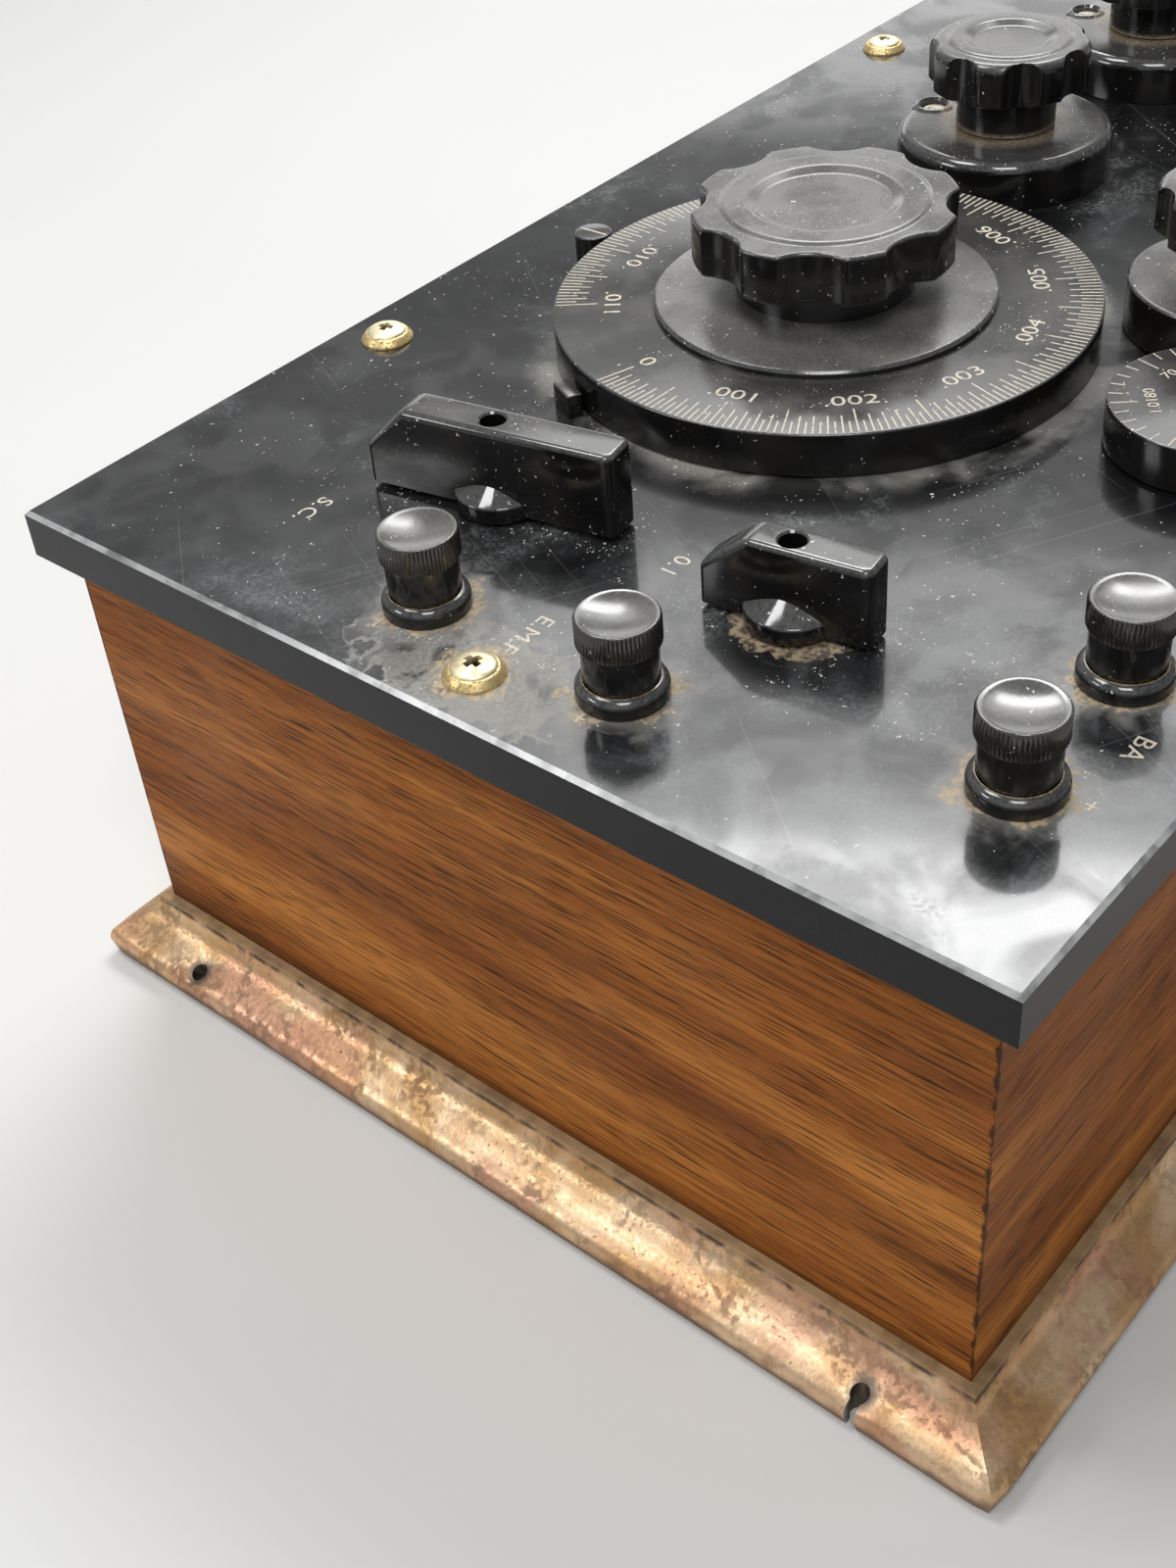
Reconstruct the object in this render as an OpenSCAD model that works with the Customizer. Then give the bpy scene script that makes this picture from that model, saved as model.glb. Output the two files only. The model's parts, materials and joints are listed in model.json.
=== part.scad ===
// Laboratory potentiometer: a black panel of controls on a mitred wooden case with a moulded base.
// Millimetres. +X is the user's right, -Y the front edge, +Z up. The origin is the centre of the underside.

/* [Panel] */
// Length of the panel, left to right
panel_l = 406.4; // [390:0.1:520]
// Width of the panel, front to back
panel_w = 241.3; // [235:0.1:320]
// Thickness of the panel
panel_t = 11; // [8:0.1:16]
// Chamfer along the panel's top edges
panel_chamfer = 0.9; // [0.3:0.1:2]
// How far the panel reaches past the walls
panel_overhang = 6.1; // [2:0.1:10]

/* [Case] */
// Height of the walls between the moulding and the panel
wall_h = 102.1; // [80:0.1:140]
// Thickness of the walls
wall_t = 12.7; // [10:0.1:18]
// Thickness of the bottom board
board_t = 6.4; // [4:0.1:12]
// Height of the base moulding
moulding_h = 16.7; // [14:0.1:24]
// How far the moulding reaches out past the walls
moulding_out = 14.1; // [12:0.1:22]
// Width of the flat ledge at the foot of the walls
moulding_ledge = 3.1; // [1:0.1:5]
// Drop from the ledge to the start of the cove
moulding_step = 1.2; // [0.4:0.1:3]
// Radius of the moulding's rounded nose
nose_r = 4.2; // [2.5:0.1:6]
// How far the moulding's foot is tucked in under the nose
nose_tuck = 1.4; // [0.4:0.1:3]
// Radius of the hollow between ledge and nose
cove_r = 14; // [10:0.5:40]
// Width of the lip inside the walls that carries the bottom board
board_lip = 8; // [4:0.5:20]

/* [Bench screw holes] */
// Distance of the holes from the walls
bench_hole_out = 9.9; // [8:0.1:11]
// Distance of the holes from the middle of each end
bench_hole_y = 96.4; // [60:0.1:105]
// Radius of the holes
bench_hole_r = 2; // [1:0.1:2.2]
// Width of the split that runs from the rear right hole to the moulding's edge
split_w = 2.4; // [1:0.1:2.6]

/* [Panel screws] */
// Distance of the front and rear screws from the middle
panel_screw_x = 105; // [60:0.5:120]
// Distance of the end screws behind the middle
end_screw_y = -1.6; // [-8:0.1:8]
// Radius of the screw shank
screw_r = 2.1; // [1.5:0.1:2.6]
// Radius of the screw head
screw_head_r = 4.6; // [3.6:0.1:5]
// Height of the domed screw head
screw_head_h = 1.3; // [0.8:0.1:2]
// Length of the shank in the wood
screw_bite = 19; // [10:0.5:40]
// Outer radius of the cup washers
cup_r = 6.15; // [5.6:0.05:8]
// Height of the cup washers
cup_h = 1.9; // [1.2:0.1:3]
// Width of the flat brim of the cup washers
cup_brim = 0.8; // [0.3:0.1:1]

/* [Slide-wire dial] */
// Place of the dial's axis, right of the middle
slide_wire_x = 49.9; // [40:0.1:60]
// Place of the dial's axis, behind the middle
slide_wire_y = -21.6; // [-30:0.1:-15]
// Radius of the dial
dial_r = 61.5; // [50:0.1:62.5]
// Height of the dial faces above the panel
dial_top = 10.4; // [8:0.1:14]
// Thickness of the dial's face
dial_face_t = 4; // [2:0.1:5]
// Thickness of the dial's rim
dial_rim_t = 5; // [3:0.1:9]
// Radius of the thin skirt under the knob
skirt_r = 38.7; // [32:0.1:44]
// Thickness of the skirt
skirt_t = 1.7; // [1:0.1:3]
// Radius of the knob's head
big_knob_r = 29.6; // [26:0.1:31]
// Height of the knob's top above the panel
big_knob_top = 33.6; // [28:0.1:40]
// Height of the knob's head
big_head_h = 12; // [8:0.1:14]
// Rounding of the knob's top edge
big_fillet = 0.9; // [0.4:0.1:3]
// Radius of the knob's neck
big_neck_r = 20; // [14:0.1:24]
// Radius of the slide-wire shaft
big_shaft_r = 4.75; // [3:0.05:6]
// Radius of the index post
index_r = 4.5; // [3:0.1:5]
// Direction of the index post from the dial's axis
index_turn = -88.3; // [-100:0.1:-80]
// Clear gap between the dial's rim and the pieces that stand beside it
index_gap = 0.6; // [0.4:0.1:2]
// Direction of the stop block from the dial's axis
stop_turn = -26; // [-45:0.1:-20]
// Length of the stop block along the dial's rim
stop_l = 8; // [5:0.1:12]
// Depth of the stop block away from the dial's rim
stop_w = 3.6; // [3:0.1:8]
// Height of the stop block
stop_h = 5.5; // [3:0.1:9]

/* [Decade switches] */
// Place of the first decade's axis, right of the middle
decade_1_x = -129; // [-135:0.1:-125]
// Place of the first decade's axis, behind the middle
decade_1_y = -34.7; // [-50:0.1:-20]
// Number of contacts of the first decade
decade_1_n = 16; // [10:1:18]
// Place of the second decade's axis, right of the middle
decade_2_x = -50.8; // [-55:0.1:-45]
// Place of the second decade's axis, behind the middle
decade_2_y = -35.6; // [-50:0.1:-20]
// Number of contacts of the second decade
decade_2_n = 11; // [8:1:12]
// Radius of the decade covers
cover_r = 27.2; // [26:0.1:28]
// Height of the decade covers
cover_h = 11.8; // [9:0.1:14]
// Thickness of the cover's wall
cover_wall = 2; // [1.5:0.1:3]
// Thickness of the cover's top
cover_top_t = 3; // [2:0.1:3.4]
// Radius of the window in the cover
window_r = 3.2; // [2:0.1:3.4]
// Width of the raised rim round the window
window_rim = 1.1; // [0.5:0.1:1.2]
// Distance of the window from the cover's edge
window_edge = 5.7; // [5.5:0.1:8]
// Angle swept by a decade switch
decade_sweep = 300; // [240:1:315]
// Radius of the contact studs' circle
stud_ring_r = 21; // [18:0.1:22]
// Radius of a contact stud
stud_r = 2.6; // [1.5:0.1:3]
// Radius of the stud plates
stud_plate_r = 27; // [25.5:0.1:30]
// Thickness of the stud plates
stud_plate_t = 6; // [4:0.1:10]

/* [Small fluted knobs] */
// Radius of the knob's head
knob_r = 20; // [16:0.1:22]
// Height of the knob's top above the panel
knob_top = 34; // [28:0.1:40]
// Rounding of the knob's top edge
knob_fillet = 2.6; // [1:0.1:3]
// Height of the knob's head
head_h = 11.5; // [9:0.1:14]
// Radius of the knob's neck
neck_r = 12.5; // [9:0.1:14]
// Number of flutes on every knob
flutes = 8; // [6:1:12]
// Radius of the small shafts
shaft_r = 3.2; // [2.5:0.05:4]

/* [Standard-cell dial and rheostats] */
// Place of the standard-cell dial, right of the middle
cell_x = 45.5; // [44:0.1:60]
// Place of the standard-cell dial, behind the middle
cell_y = 71.9; // [71:0.1:80]
// Radius of the standard-cell dial
cell_r = 22.4; // [18:0.1:23]
// Radius of its finger knob
cell_knob_r = 6.6; // [5:0.1:12]
// Height of its finger knob above the dial
cell_knob_h = 9; // [5:0.1:14]
// Place of the rheostat row, behind the middle
rheostat_y = 52.9; // [45:0.1:60]
// Place of the coarse rheostat, right of the middle
coarse_x = -2.5; // [-6:0.1:0]
// Distance between the two rheostats
rheostat_pitch = 64; // [54:0.1:70]
// Radius of the rheostat knob's skirt
rheostat_skirt_r = 24.4; // [20:0.1:25]
// Height of the rheostat knob's skirt
rheostat_skirt_top = 12; // [9:0.1:14]
// Radius of the wound bodies under the panel
wound_r = 19; // [15:0.1:21]
// Depth of the wound bodies under the panel
wound_h = 24; // [15:0.5:40]

/* [Bar switches] */
// Distance of both bars' pivots from the panel's right edge
bar_edge = 59.3; // [55:0.1:75]
// Distance of both bars' pivots from the middle
bar_y = 36.7; // [34:0.1:45]
// Reach of the long bar's nose and of its heel
long_reach = 29.3; // [20:0.1:32]
// Reach of the short bar's nose and of its heel
short_reach = 17.8; // [14:0.1:24]
// Width of the long bar
long_bar_w = 9.6; // [7:0.1:12]
// Width of the short bar
short_bar_w = 8.5; // [7:0.1:12]
// Height of the long bar's top
long_bar_top = 19.6; // [15:0.1:24]
// Height of the short bar's top
short_bar_top = 17.8; // [15:0.1:24]
// Height of the gap under the bars
bar_lift = 1.4; // [0.6:0.1:3]
// Height of the upright part of the nose
nose_h = 8.4; // [4:0.1:12]
// Slope run of the nose, along the bar
nose_run = 9.8; // [4:0.1:14]
// Angle at which the long bar points
long_turn = 10.6; // [-30:0.1:30]
// Angle at which the short bar points
short_turn = 8; // [-30:0.1:30]
// Radius of the round boss at the bar's foot
boss_r = 9.5; // [8:0.1:12]
// Radius of the switch decks under the panel
deck_r = 17; // [14:0.1:22]
// Thickness of the switch decks
deck_t = 8; // [5:0.1:14]

/* [Binding posts] */
// Distance of the end pairs from the inside of the walls
end_post_in = 5.1; // [4.7:0.1:12]
// Distance of the end posts from the middle
end_post_y = 24.4; // [16:0.1:26]
// Distance of the rear posts from the inside of the rear wall
rear_post_in = 6.7; // [4.7:0.1:12]
// Distance of the outer rear posts from the panel's ends
rear_post_end = 41.2; // [30:0.1:50]
// Distance between the two posts of a rear pair
rear_post_pitch = 36.5; // [22:0.1:40]
// Radius of the cap's knurled band
cap_r = 7.95; // [7:0.05:9]
// Radius of the cap's smooth foot
cap_foot_r = 7.2; // [5:0.05:7.8]
// Height of the knurled band
cap_band_h = 6; // [3:0.1:8]
// Height of the cap's top above the panel
cap_top = 17.4; // [14:0.1:24]
// Depth of the hollow in the cap's top
cap_dish = 1.1; // [0.3:0.1:2]
// Radius of the collar under the cap
collar_r = 8.8; // [8:0.05:11]
// Height of the collar
collar_h = 4; // [2.5:0.1:6]
// Radius of the post's stud
post_stud_r = 2.1; // [1.5:0.05:3]
// Radius of the stud's head under the panel
post_head_r = 4.4; // [3.5:0.05:4.6]
// Height of the stud's head under the panel
post_head_h = 3; // [2:0.1:5]

/* [Galvanometer keys] */
// Distance of the keys from the panel's rear edge
key_edge = 60; // [54:0.1:70]
// Radius of the key's button
key_r = 7.5; // [6:0.1:9]
// Height of the key's button
key_h = 6; // [4:0.1:9]
// Travel of the keys
key_travel = 3; // [1.5:0.1:4]
// Radius of the key's stem
key_stem_r = 2.5; // [2:0.05:3.5]

/* [Fits] */
// Radial clearance of a turning shaft in its bush
running_fit = 0.04; // [0.01:0.01:0.1]
// Radial clearance of pieces pushed on by hand
slip_fit = 0.03; // [0.01:0.01:0.1]
// Clear gap between a moving piece and what it passes
pass_gap = 0.6; // [0.4:0.1:1.2]
// Clear gap between contacts that meet by spring pressure
contact_gap = 0.3; // [0.2:0.05:0.5]

/* [Hidden] */
$fn = 96;

rubber_black = "#19191b";
bakelite_black = "#222225";
mahogany = "#7c4524";
bronze_paint = "#a8743f";
brass = "#c9a851";
ivory = "#d8cfb4";

// Case sizes
wood_l = panel_l - 2 * panel_overhang;
wood_w = panel_w - 2 * panel_overhang;
panel_z = moulding_h + wall_h;
panel_top = panel_z + panel_t;
screw_edge = panel_overhang + wall_t / 2;

// Places on the panel
slide_wire_at = [slide_wire_x, slide_wire_y];
decade_1_at = [decade_1_x, decade_1_y];
decade_2_at = [decade_2_x, decade_2_y];
cell_at = [cell_x, cell_y];
coarse_at = [coarse_x, rheostat_y];
fine_at = [coarse_x - rheostat_pitch, rheostat_y];
selector_at = [panel_l / 2 - bar_edge, -bar_y];
range_at = [panel_l / 2 - bar_edge, bar_y];
end_post_x = wood_l / 2 - wall_t - end_post_in;
rear_post_x = panel_l / 2 - rear_post_end;
rear_post_y = wood_w / 2 - wall_t - rear_post_in;
emf_plus_at = [end_post_x, end_post_y];
emf_minus_at = [end_post_x, -end_post_y];
battery_plus_at = [rear_post_x, rear_post_y];
battery_minus_at = [rear_post_x - rear_post_pitch, rear_post_y];
cell_plus_at = [-end_post_x, -end_post_y];
cell_minus_at = [-end_post_x, end_post_y];
galvanometer_left_at = [-rear_post_x, rear_post_y];
galvanometer_right_at = [-rear_post_x + rear_post_pitch, rear_post_y];
POSTS = [
    emf_plus_at, emf_minus_at, battery_plus_at, battery_minus_at,
    cell_plus_at, cell_minus_at, galvanometer_left_at, galvanometer_right_at
];
key_y = panel_w / 2 - key_edge;
key_coarse_at = [-rear_post_x, key_y];
key_fine_at = [-rear_post_x + rear_post_pitch, key_y];
index_at = slide_wire_at + (dial_r + index_gap + index_r) * [cos(index_turn), sin(index_turn)];
PANEL_SCREWS = [
    [panel_screw_x, panel_w / 2 - screw_edge], [-panel_screw_x, panel_w / 2 - screw_edge],
    [panel_screw_x, screw_edge - panel_w / 2], [-panel_screw_x, screw_edge - panel_w / 2],
    [panel_l / 2 - screw_edge, end_screw_y], [screw_edge - panel_l / 2, end_screw_y]
];

// Bushes: place, shaft radius and the thickness of what each clamps under the panel
bush_wall = 2.2;
bush_flange_t = 3;
bush_flange_w = 2.6;
drum_t = 14;
BUSHES = [
    [slide_wire_at, big_shaft_r, drum_t],
    [decade_1_at, shaft_r, stud_plate_t], [decade_2_at, shaft_r, stud_plate_t],
    [cell_at, shaft_r, wound_h], [coarse_at, shaft_r, wound_h], [fine_at, shaft_r, wound_h],
    [selector_at, shaft_r, deck_t], [range_at, shaft_r, deck_t], [key_coarse_at, key_stem_r, 0],
    [key_fine_at, key_stem_r, 0]
];
function bush_r(axle_r) = axle_r + running_fit + bush_wall;
function bush_hole_r(axle_r) = bush_r(axle_r) + slip_fit;
function bush_foot(under_t) = -panel_t - under_t - bush_flange_t;

// Contacts under the panel
stud_proud = 2.5;
stud_face = -panel_t - stud_plate_t - stud_proud;
arm_t = 2;
arm_w = 6;
hub_wall = 3.5;
hub_h = 6;
wire_r = 0.5;
wire_slack = 0.1;
drum_r = 48;
wire_gap_angle = 30;
wiper_turn = 53;
finger_w = 3;
retainer_h = 3;
retainer_w = 1.8;
shaft_tip = 1;
strip_t = 0.8;
strip_foot_l = 8;

// Knob details
flute_ratio = 0.37;
flute_depth_ratio = 0.11;
ring_ratio = 0.79;
recess_ratio = 0.575;
ring_rise = 0.6;
recess_depth = 1.2;
slope_run = 2;
foot_fillet = 1;
bore_roof = 5;
bar_round = 1.2;
heel_round = 2.2;
bar_hole_r = 2.7;
bar_screw_z = 8;
boss_h = 4.6;
boss_cone_h = 1.6;
boss_cone_r = 4;
index_spigot_r = 2;
cap_roof = 3;
cap_gap = 0.5;
collar_round = 2;
cover_round = 2.2;
number_dial_t = 1.8;
number_dial_drop = 0.6;
window_rim_h = 0.7;
skirt_bevel = 0.7;
cut = 1;

// Places a piece on the panel, with z counted from the panel's top
module at(place) {
    translate([place[0], place[1], panel_top]) children();
}

// A disc or tube with its foot at z
module tube(outer_r, z, h, bore_r = 0) {
    translate([0, 0, z]) difference() {
        cylinder(r = outer_r, h = h);
        if (bore_r > 0) translate([0, 0, -cut]) cylinder(r = bore_r, h = h + 2 * cut);
    }
}

// Half section of a turned head with rounded edges
module turned_section(r, z, h, top_round, foot_round) {
    translate([0, z + foot_round]) square([r, h - top_round - foot_round]);
    translate([0, z]) square([r - foot_round, foot_round]);
    translate([0, z + h - top_round]) square([r - top_round, top_round]);
    translate([r - top_round, z + h - top_round]) intersection() {
        circle(r = top_round);
        square(top_round);
    }
    translate([r - foot_round, z + foot_round]) intersection() {
        circle(r = foot_round);
        translate([0, -foot_round]) square(foot_round);
    }
}

// Base moulding

// Section of the moulding: x runs outwards from the wall's face, y up
module moulding_section() {
    inner = -wall_t - board_lip;
    nose_x = moulding_out - nose_r;
    step_z = moulding_h - moulding_step;
    chord = [nose_x - moulding_ledge, 2 * nose_r - step_z];
    half_chord = norm(chord) / 2;
    normal = [-chord[1], chord[0]] / norm(chord);
    middle = [moulding_ledge, step_z] + chord / 2;
    cove_at = middle + normal * sqrt(cove_r * cove_r - half_chord * half_chord);
    difference() {
        polygon([
            [inner, 0], [moulding_out - nose_tuck, 0], [moulding_out, nose_r], [nose_x, nose_r],
            [nose_x, 2 * nose_r], [moulding_ledge, step_z], [moulding_ledge, moulding_h], [inner, moulding_h]
        ]);
        translate(cove_at) circle(r = cove_r);
    }
    translate([nose_x, nose_r]) intersection() {
        circle(r = nose_r);
        square(nose_r);
    }
}

// Plan of one side of a mitred frame: run and reach belong to the wall's outer face
module mitred_plan(run, reach, outside, inside) {
    polygon([
        [-run / 2 - outside, reach + outside], [run / 2 + outside, reach + outside],
        [run / 2 - inside, reach - inside], [inside - run / 2, reach - inside]
    ]);
}

module moulding_piece(run, reach) {
    full = run + 2 * moulding_out;
    color(bronze_paint) intersection() {
        translate([-full / 2, reach, 0]) rotate([90, 0, 90]) linear_extrude(full) moulding_section();
        linear_extrude(moulding_h) mitred_plan(run, reach, moulding_out, wall_t + board_lip);
    }
}

module bench_hole(side) {
    translate([side * bench_hole_y, wood_l / 2 + bench_hole_out, -cut])
        cylinder(r = bench_hole_r, h = moulding_h + 2 * cut);
}

module end_moulding() {
    difference() {
        moulding_piece(wood_w, wood_l / 2);
        bench_hole(-1);
        bench_hole(1);
    }
}

module base_moulding_front() {
    rotate(180) moulding_piece(wood_l, wood_w / 2);
}

module base_moulding_back() {
    moulding_piece(wood_l, wood_w / 2);
}

module base_moulding_left() {
    rotate(90) end_moulding();
}

// The rear hole of this piece has split out to the edge
module base_moulding_right() {
    rotate(-90) difference() {
        end_moulding();
        translate([-bench_hole_y - split_w / 2, wood_l / 2 + bench_hole_out, -cut])
            cube([split_w, moulding_out, moulding_h + 2 * cut]);
    }
}

// Case

module wall(run, reach) {
    color(mahogany) translate([0, 0, moulding_h]) linear_extrude(wall_h) mitred_plan(run, reach, 0, wall_t);
}

module screw_pilots() {
    for (place = PANEL_SCREWS)
        translate([place[0], place[1], panel_z - screw_bite - shaft_tip])
            cylinder(r = screw_r + slip_fit, h = screw_bite + shaft_tip + cut);
}

module wall_front() {
    difference() {
        rotate(180) wall(wood_l, wood_w / 2);
        screw_pilots();
    }
}

module wall_back() {
    difference() {
        wall(wood_l, wood_w / 2);
        screw_pilots();
    }
}

module wall_left() {
    difference() {
        rotate(90) wall(wood_w, wood_l / 2);
        screw_pilots();
    }
}

module wall_right() {
    difference() {
        rotate(-90) wall(wood_w, wood_l / 2);
        screw_pilots();
    }
}

module bottom_board() {
    color(mahogany) translate([wall_t - wood_l / 2, wall_t - wood_w / 2, moulding_h])
        cube([wood_l - 2 * wall_t, wood_w - 2 * wall_t, board_t]);
}

// Panel

module chamfered_section(w) {
    polygon([
        [-w / 2, 0], [w / 2, 0], [w / 2, panel_t - panel_chamfer], [w / 2 - panel_chamfer, panel_t],
        [panel_chamfer - w / 2, panel_t], [-w / 2, panel_t - panel_chamfer]
    ]);
}

module panel_hole(place, r) {
    at(place) translate([0, 0, -panel_t - cut]) cylinder(r = r, h = panel_t + 2 * cut);
}

module panel() {
    color(rubber_black) difference() {
        translate([0, 0, panel_z]) intersection() {
            translate([-panel_l / 2, 0, 0]) rotate([90, 0, 90])
                linear_extrude(panel_l) chamfered_section(panel_w);
            translate([0, panel_w / 2, 0]) rotate([90, 0, 0])
                linear_extrude(panel_w) chamfered_section(panel_l);
        }
        for (bush = BUSHES) panel_hole(bush[0], bush_hole_r(bush[1]));
        for (place = POSTS) panel_hole(place, post_stud_r + slip_fit);
        for (place = PANEL_SCREWS) panel_hole(place, screw_r + slip_fit);
        panel_hole(index_at, index_spigot_r + slip_fit);
    }
}

// A countersunk shank under a domed head
module panel_screws() {
    dome_r = (screw_head_r * screw_head_r + screw_head_h * screw_head_h) / (2 * screw_head_h);
    color(brass) for (place = PANEL_SCREWS) at(place) rotate_extrude() {
        translate([0, -panel_t - screw_bite]) square([screw_r, panel_t + screw_bite]);
        polygon([[0, 0], [screw_r, 0], [screw_head_r, cup_h], [0, cup_h]]);
        intersection() {
            translate([0, cup_h + screw_head_h - dome_r]) circle(r = dome_r);
            translate([0, cup_h]) square([screw_head_r, screw_head_h]);
        }
    }
}

module panel_screw_cups() {
    seat_r = screw_head_r + slip_fit;
    color(brass) for (place = PANEL_SCREWS) at(place) rotate_extrude()
        polygon([[screw_r + slip_fit, 0], [cup_r, 0], [cup_r, cup_brim / 2], [seat_r + cup_brim / 2, cup_h],
            [seat_r, cup_h]]);
}

// Shared control parts

// Bushes rise from below, clamp what hangs under the panel and end flush with the panel's top
module shaft_bushes() {
    color(brass) for (bush = BUSHES) at(bush[0]) {
        bore_r = bush[1] + running_fit;
        foot = bush_foot(bush[2]);
        difference() {
            union() {
                tube(bush_r(bush[1]), foot, -foot);
                tube(bush_r(bush[1]) + bush_flange_w, foot, bush_flange_t);
            }
            translate([0, 0, foot - cut]) cylinder(r = bore_r, h = 2 * cut - foot);
        }
    }
}

// A knob turned with a raised ring and a recess on top, and upright flutes cut into its head
module fluted_knob(r, top, h, round_r, waist_r, neck_foot, axle_r, turn) {
    cutter_r = r * flute_ratio;
    depth = r * flute_depth_ratio;
    ring_r = r * ring_ratio;
    recess_r = r * recess_ratio;
    band = top - ring_rise;
    floor_z = top - recess_depth;
    difference() {
        rotate_extrude() difference() {
            union() {
                turned_section(r, top - h, h - ring_rise, round_r, foot_fillet);
                translate([0, neck_foot]) square([waist_r, top - h - neck_foot + foot_fillet]);
                polygon([
                    [0, floor_z], [ring_r, floor_z], [ring_r, band], [ring_r - slope_run * ring_rise, top],
                    [0, top]
                ]);
            }
            polygon([
                [0, floor_z], [recess_r - slope_run * recess_depth, floor_z], [recess_r, top],
                [recess_r, top + cut], [0, top + cut]
            ]);
        }
        for (k = [0:flutes - 1])
            rotate(turn + k * 360 / flutes) translate([r + cutter_r - depth, 0, top - h - cut])
                cylinder(r = cutter_r, h = h + 2 * cut);
        translate([0, 0, neck_foot - cut])
            cylinder(r = axle_r + slip_fit, h = top - bore_roof - neck_foot + cut);
    }
}

// A round shaft with a retaining collar under its bush
module retained_shaft(axle_r, tip, under_t) {
    foot = bush_foot(under_t) - contact_gap - retainer_h;
    tube(axle_r, foot - shaft_tip, tip - foot + shaft_tip);
    tube(axle_r + retainer_w, foot, retainer_h);
}

// A hub with one arm whose tip rises to the contact face
module contact_arm(axle_r, hub_top, reach, tip_r, tip_top) {
    hub_foot = hub_top - hub_h;
    tube(axle_r + hub_wall, hub_foot, hub_h);
    translate([-arm_w / 2, -reach, hub_foot]) cube([arm_w, reach, arm_t]);
    translate([0, -reach, hub_foot]) cylinder(r = tip_r, h = tip_top - hub_foot);
}

// The same arm, bored to be pushed onto its shaft
module bored_arm(axle_r, hub_top, reach, tip_r, tip_top) {
    difference() {
        contact_arm(axle_r, hub_top, reach, tip_r, tip_top);
        translate([0, 0, hub_top - hub_h - cut]) cylinder(r = axle_r + slip_fit, h = hub_h + 2 * cut);
    }
}

// A dial turned as a shallow cup with a hub
module cup_dial(r, top, axle_r) {
    rotate_extrude() {
        translate([axle_r + slip_fit, pass_gap]) square([hub_wall, top - pass_gap]);
        translate([axle_r + slip_fit, top - dial_face_t]) square([r - axle_r - slip_fit, dial_face_t]);
        translate([r - dial_rim_t, pass_gap]) square([dial_rim_t, top - pass_gap]);
    }
}

// Slide-wire

module slide_wire_dial() {
    color(rubber_black) at(slide_wire_at) cup_dial(dial_r, dial_top, big_shaft_r);
}

module slide_wire_skirt() {
    bore_r = big_shaft_r + slip_fit;
    color(bakelite_black) at(slide_wire_at) rotate_extrude() translate([0, dial_top])
        polygon([
            [bore_r, 0], [skirt_r, 0], [skirt_r, skirt_t - skirt_bevel], [skirt_r - skirt_bevel, skirt_t],
            [bore_r, skirt_t]
        ]);
}

module slide_wire_knob() {
    scallop_turn = -61;
    color(bakelite_black) at(slide_wire_at)
        fluted_knob(
            big_knob_r, big_knob_top, big_head_h, big_fillet, big_neck_r, dial_top + skirt_t, big_shaft_r,
            scallop_turn
        );
}

module slide_wire_shaft() {
    foot = bush_foot(drum_t) - contact_gap - hub_h - shaft_tip;
    color(brass) at(slide_wire_at) tube(big_shaft_r, foot, big_knob_top - bore_roof - foot - slip_fit);
}

// The drum hangs under the panel and carries the wire in a round groove
module slide_wire_drum() {
    color(rubber_black) at(slide_wire_at) difference() {
        tube(drum_r, -panel_t - drum_t, drum_t, bush_hole_r(big_shaft_r));
        rotate_extrude() translate([drum_r, -panel_t - drum_t / 2]) circle(r = wire_r + wire_slack);
    }
}

module slide_wire_wire() {
    color(brass) at(slide_wire_at) rotate(wire_gap_angle / 2 - 90)
        rotate_extrude(angle = 360 - wire_gap_angle)
            translate([drum_r, -panel_t - drum_t / 2]) circle(r = wire_r);
}

// The wiper reaches out under the drum and turns up beside the wire
module slide_wire_wiper() {
    finger_y = drum_r + wire_r + contact_gap;
    hub_top = bush_foot(drum_t) - contact_gap;
    color(brass) at(slide_wire_at) rotate(wiper_turn) {
        bored_arm(big_shaft_r, hub_top, finger_y, arm_w / 2, hub_top - hub_h + arm_t);
        translate([-arm_w / 2, -finger_y - finger_w, hub_top - hub_h])
            cube([arm_w, finger_w, drum_t / 2 + wire_r - panel_t - drum_t - hub_top + hub_h]);
    }
}

module slide_wire_index() {
    color(bakelite_black) at(index_at) {
        tube(index_r, 0, dial_top);
        tube(index_spigot_r, -panel_t, panel_t);
    }
}

module slide_wire_stop() {
    color(rubber_black) at(slide_wire_at) rotate(stop_turn) translate([dial_r + index_gap, -stop_l / 2, 0])
        cube([stop_w, stop_l, stop_h]);
}

// Decade switches

module decade_cover() {
    window_at = cover_r - window_edge;
    color(bakelite_black) difference() {
        union() {
            rotate_extrude() difference() {
                turned_section(cover_r, 0, cover_h, cover_round, foot_fillet / 4);
                square([cover_r - cover_wall, cover_h - cover_top_t]);
            }
            translate([0, -window_at, cover_h - cover_round])
                cylinder(r = window_r + window_rim, h = cover_round + window_rim_h);
        }
        cylinder(r = shaft_r + pass_gap, h = cover_h + cut);
        translate([0, -window_at, 0]) cylinder(r = window_r, h = cover_h + window_rim_h + cut);
    }
}

module decade_number_dial() {
    top = cover_h - cover_top_t - number_dial_drop;
    color(ivory) {
        tube(cover_r - cover_wall - pass_gap, top - number_dial_t, number_dial_t, shaft_r + slip_fit);
        tube(shaft_r + hub_wall, pass_gap, top - number_dial_t - pass_gap, shaft_r + slip_fit);
    }
}

module decade_knob() {
    flute_turn = -5.4;
    color(bakelite_black)
        fluted_knob(knob_r, knob_top, head_h, knob_fillet, neck_r, cover_h + pass_gap, shaft_r, flute_turn);
}

module decade_shaft() {
    foot = bush_foot(stud_plate_t) - contact_gap - hub_h - shaft_tip;
    color(brass) tube(shaft_r, foot, knob_top - bore_roof - foot - slip_fit);
}

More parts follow.
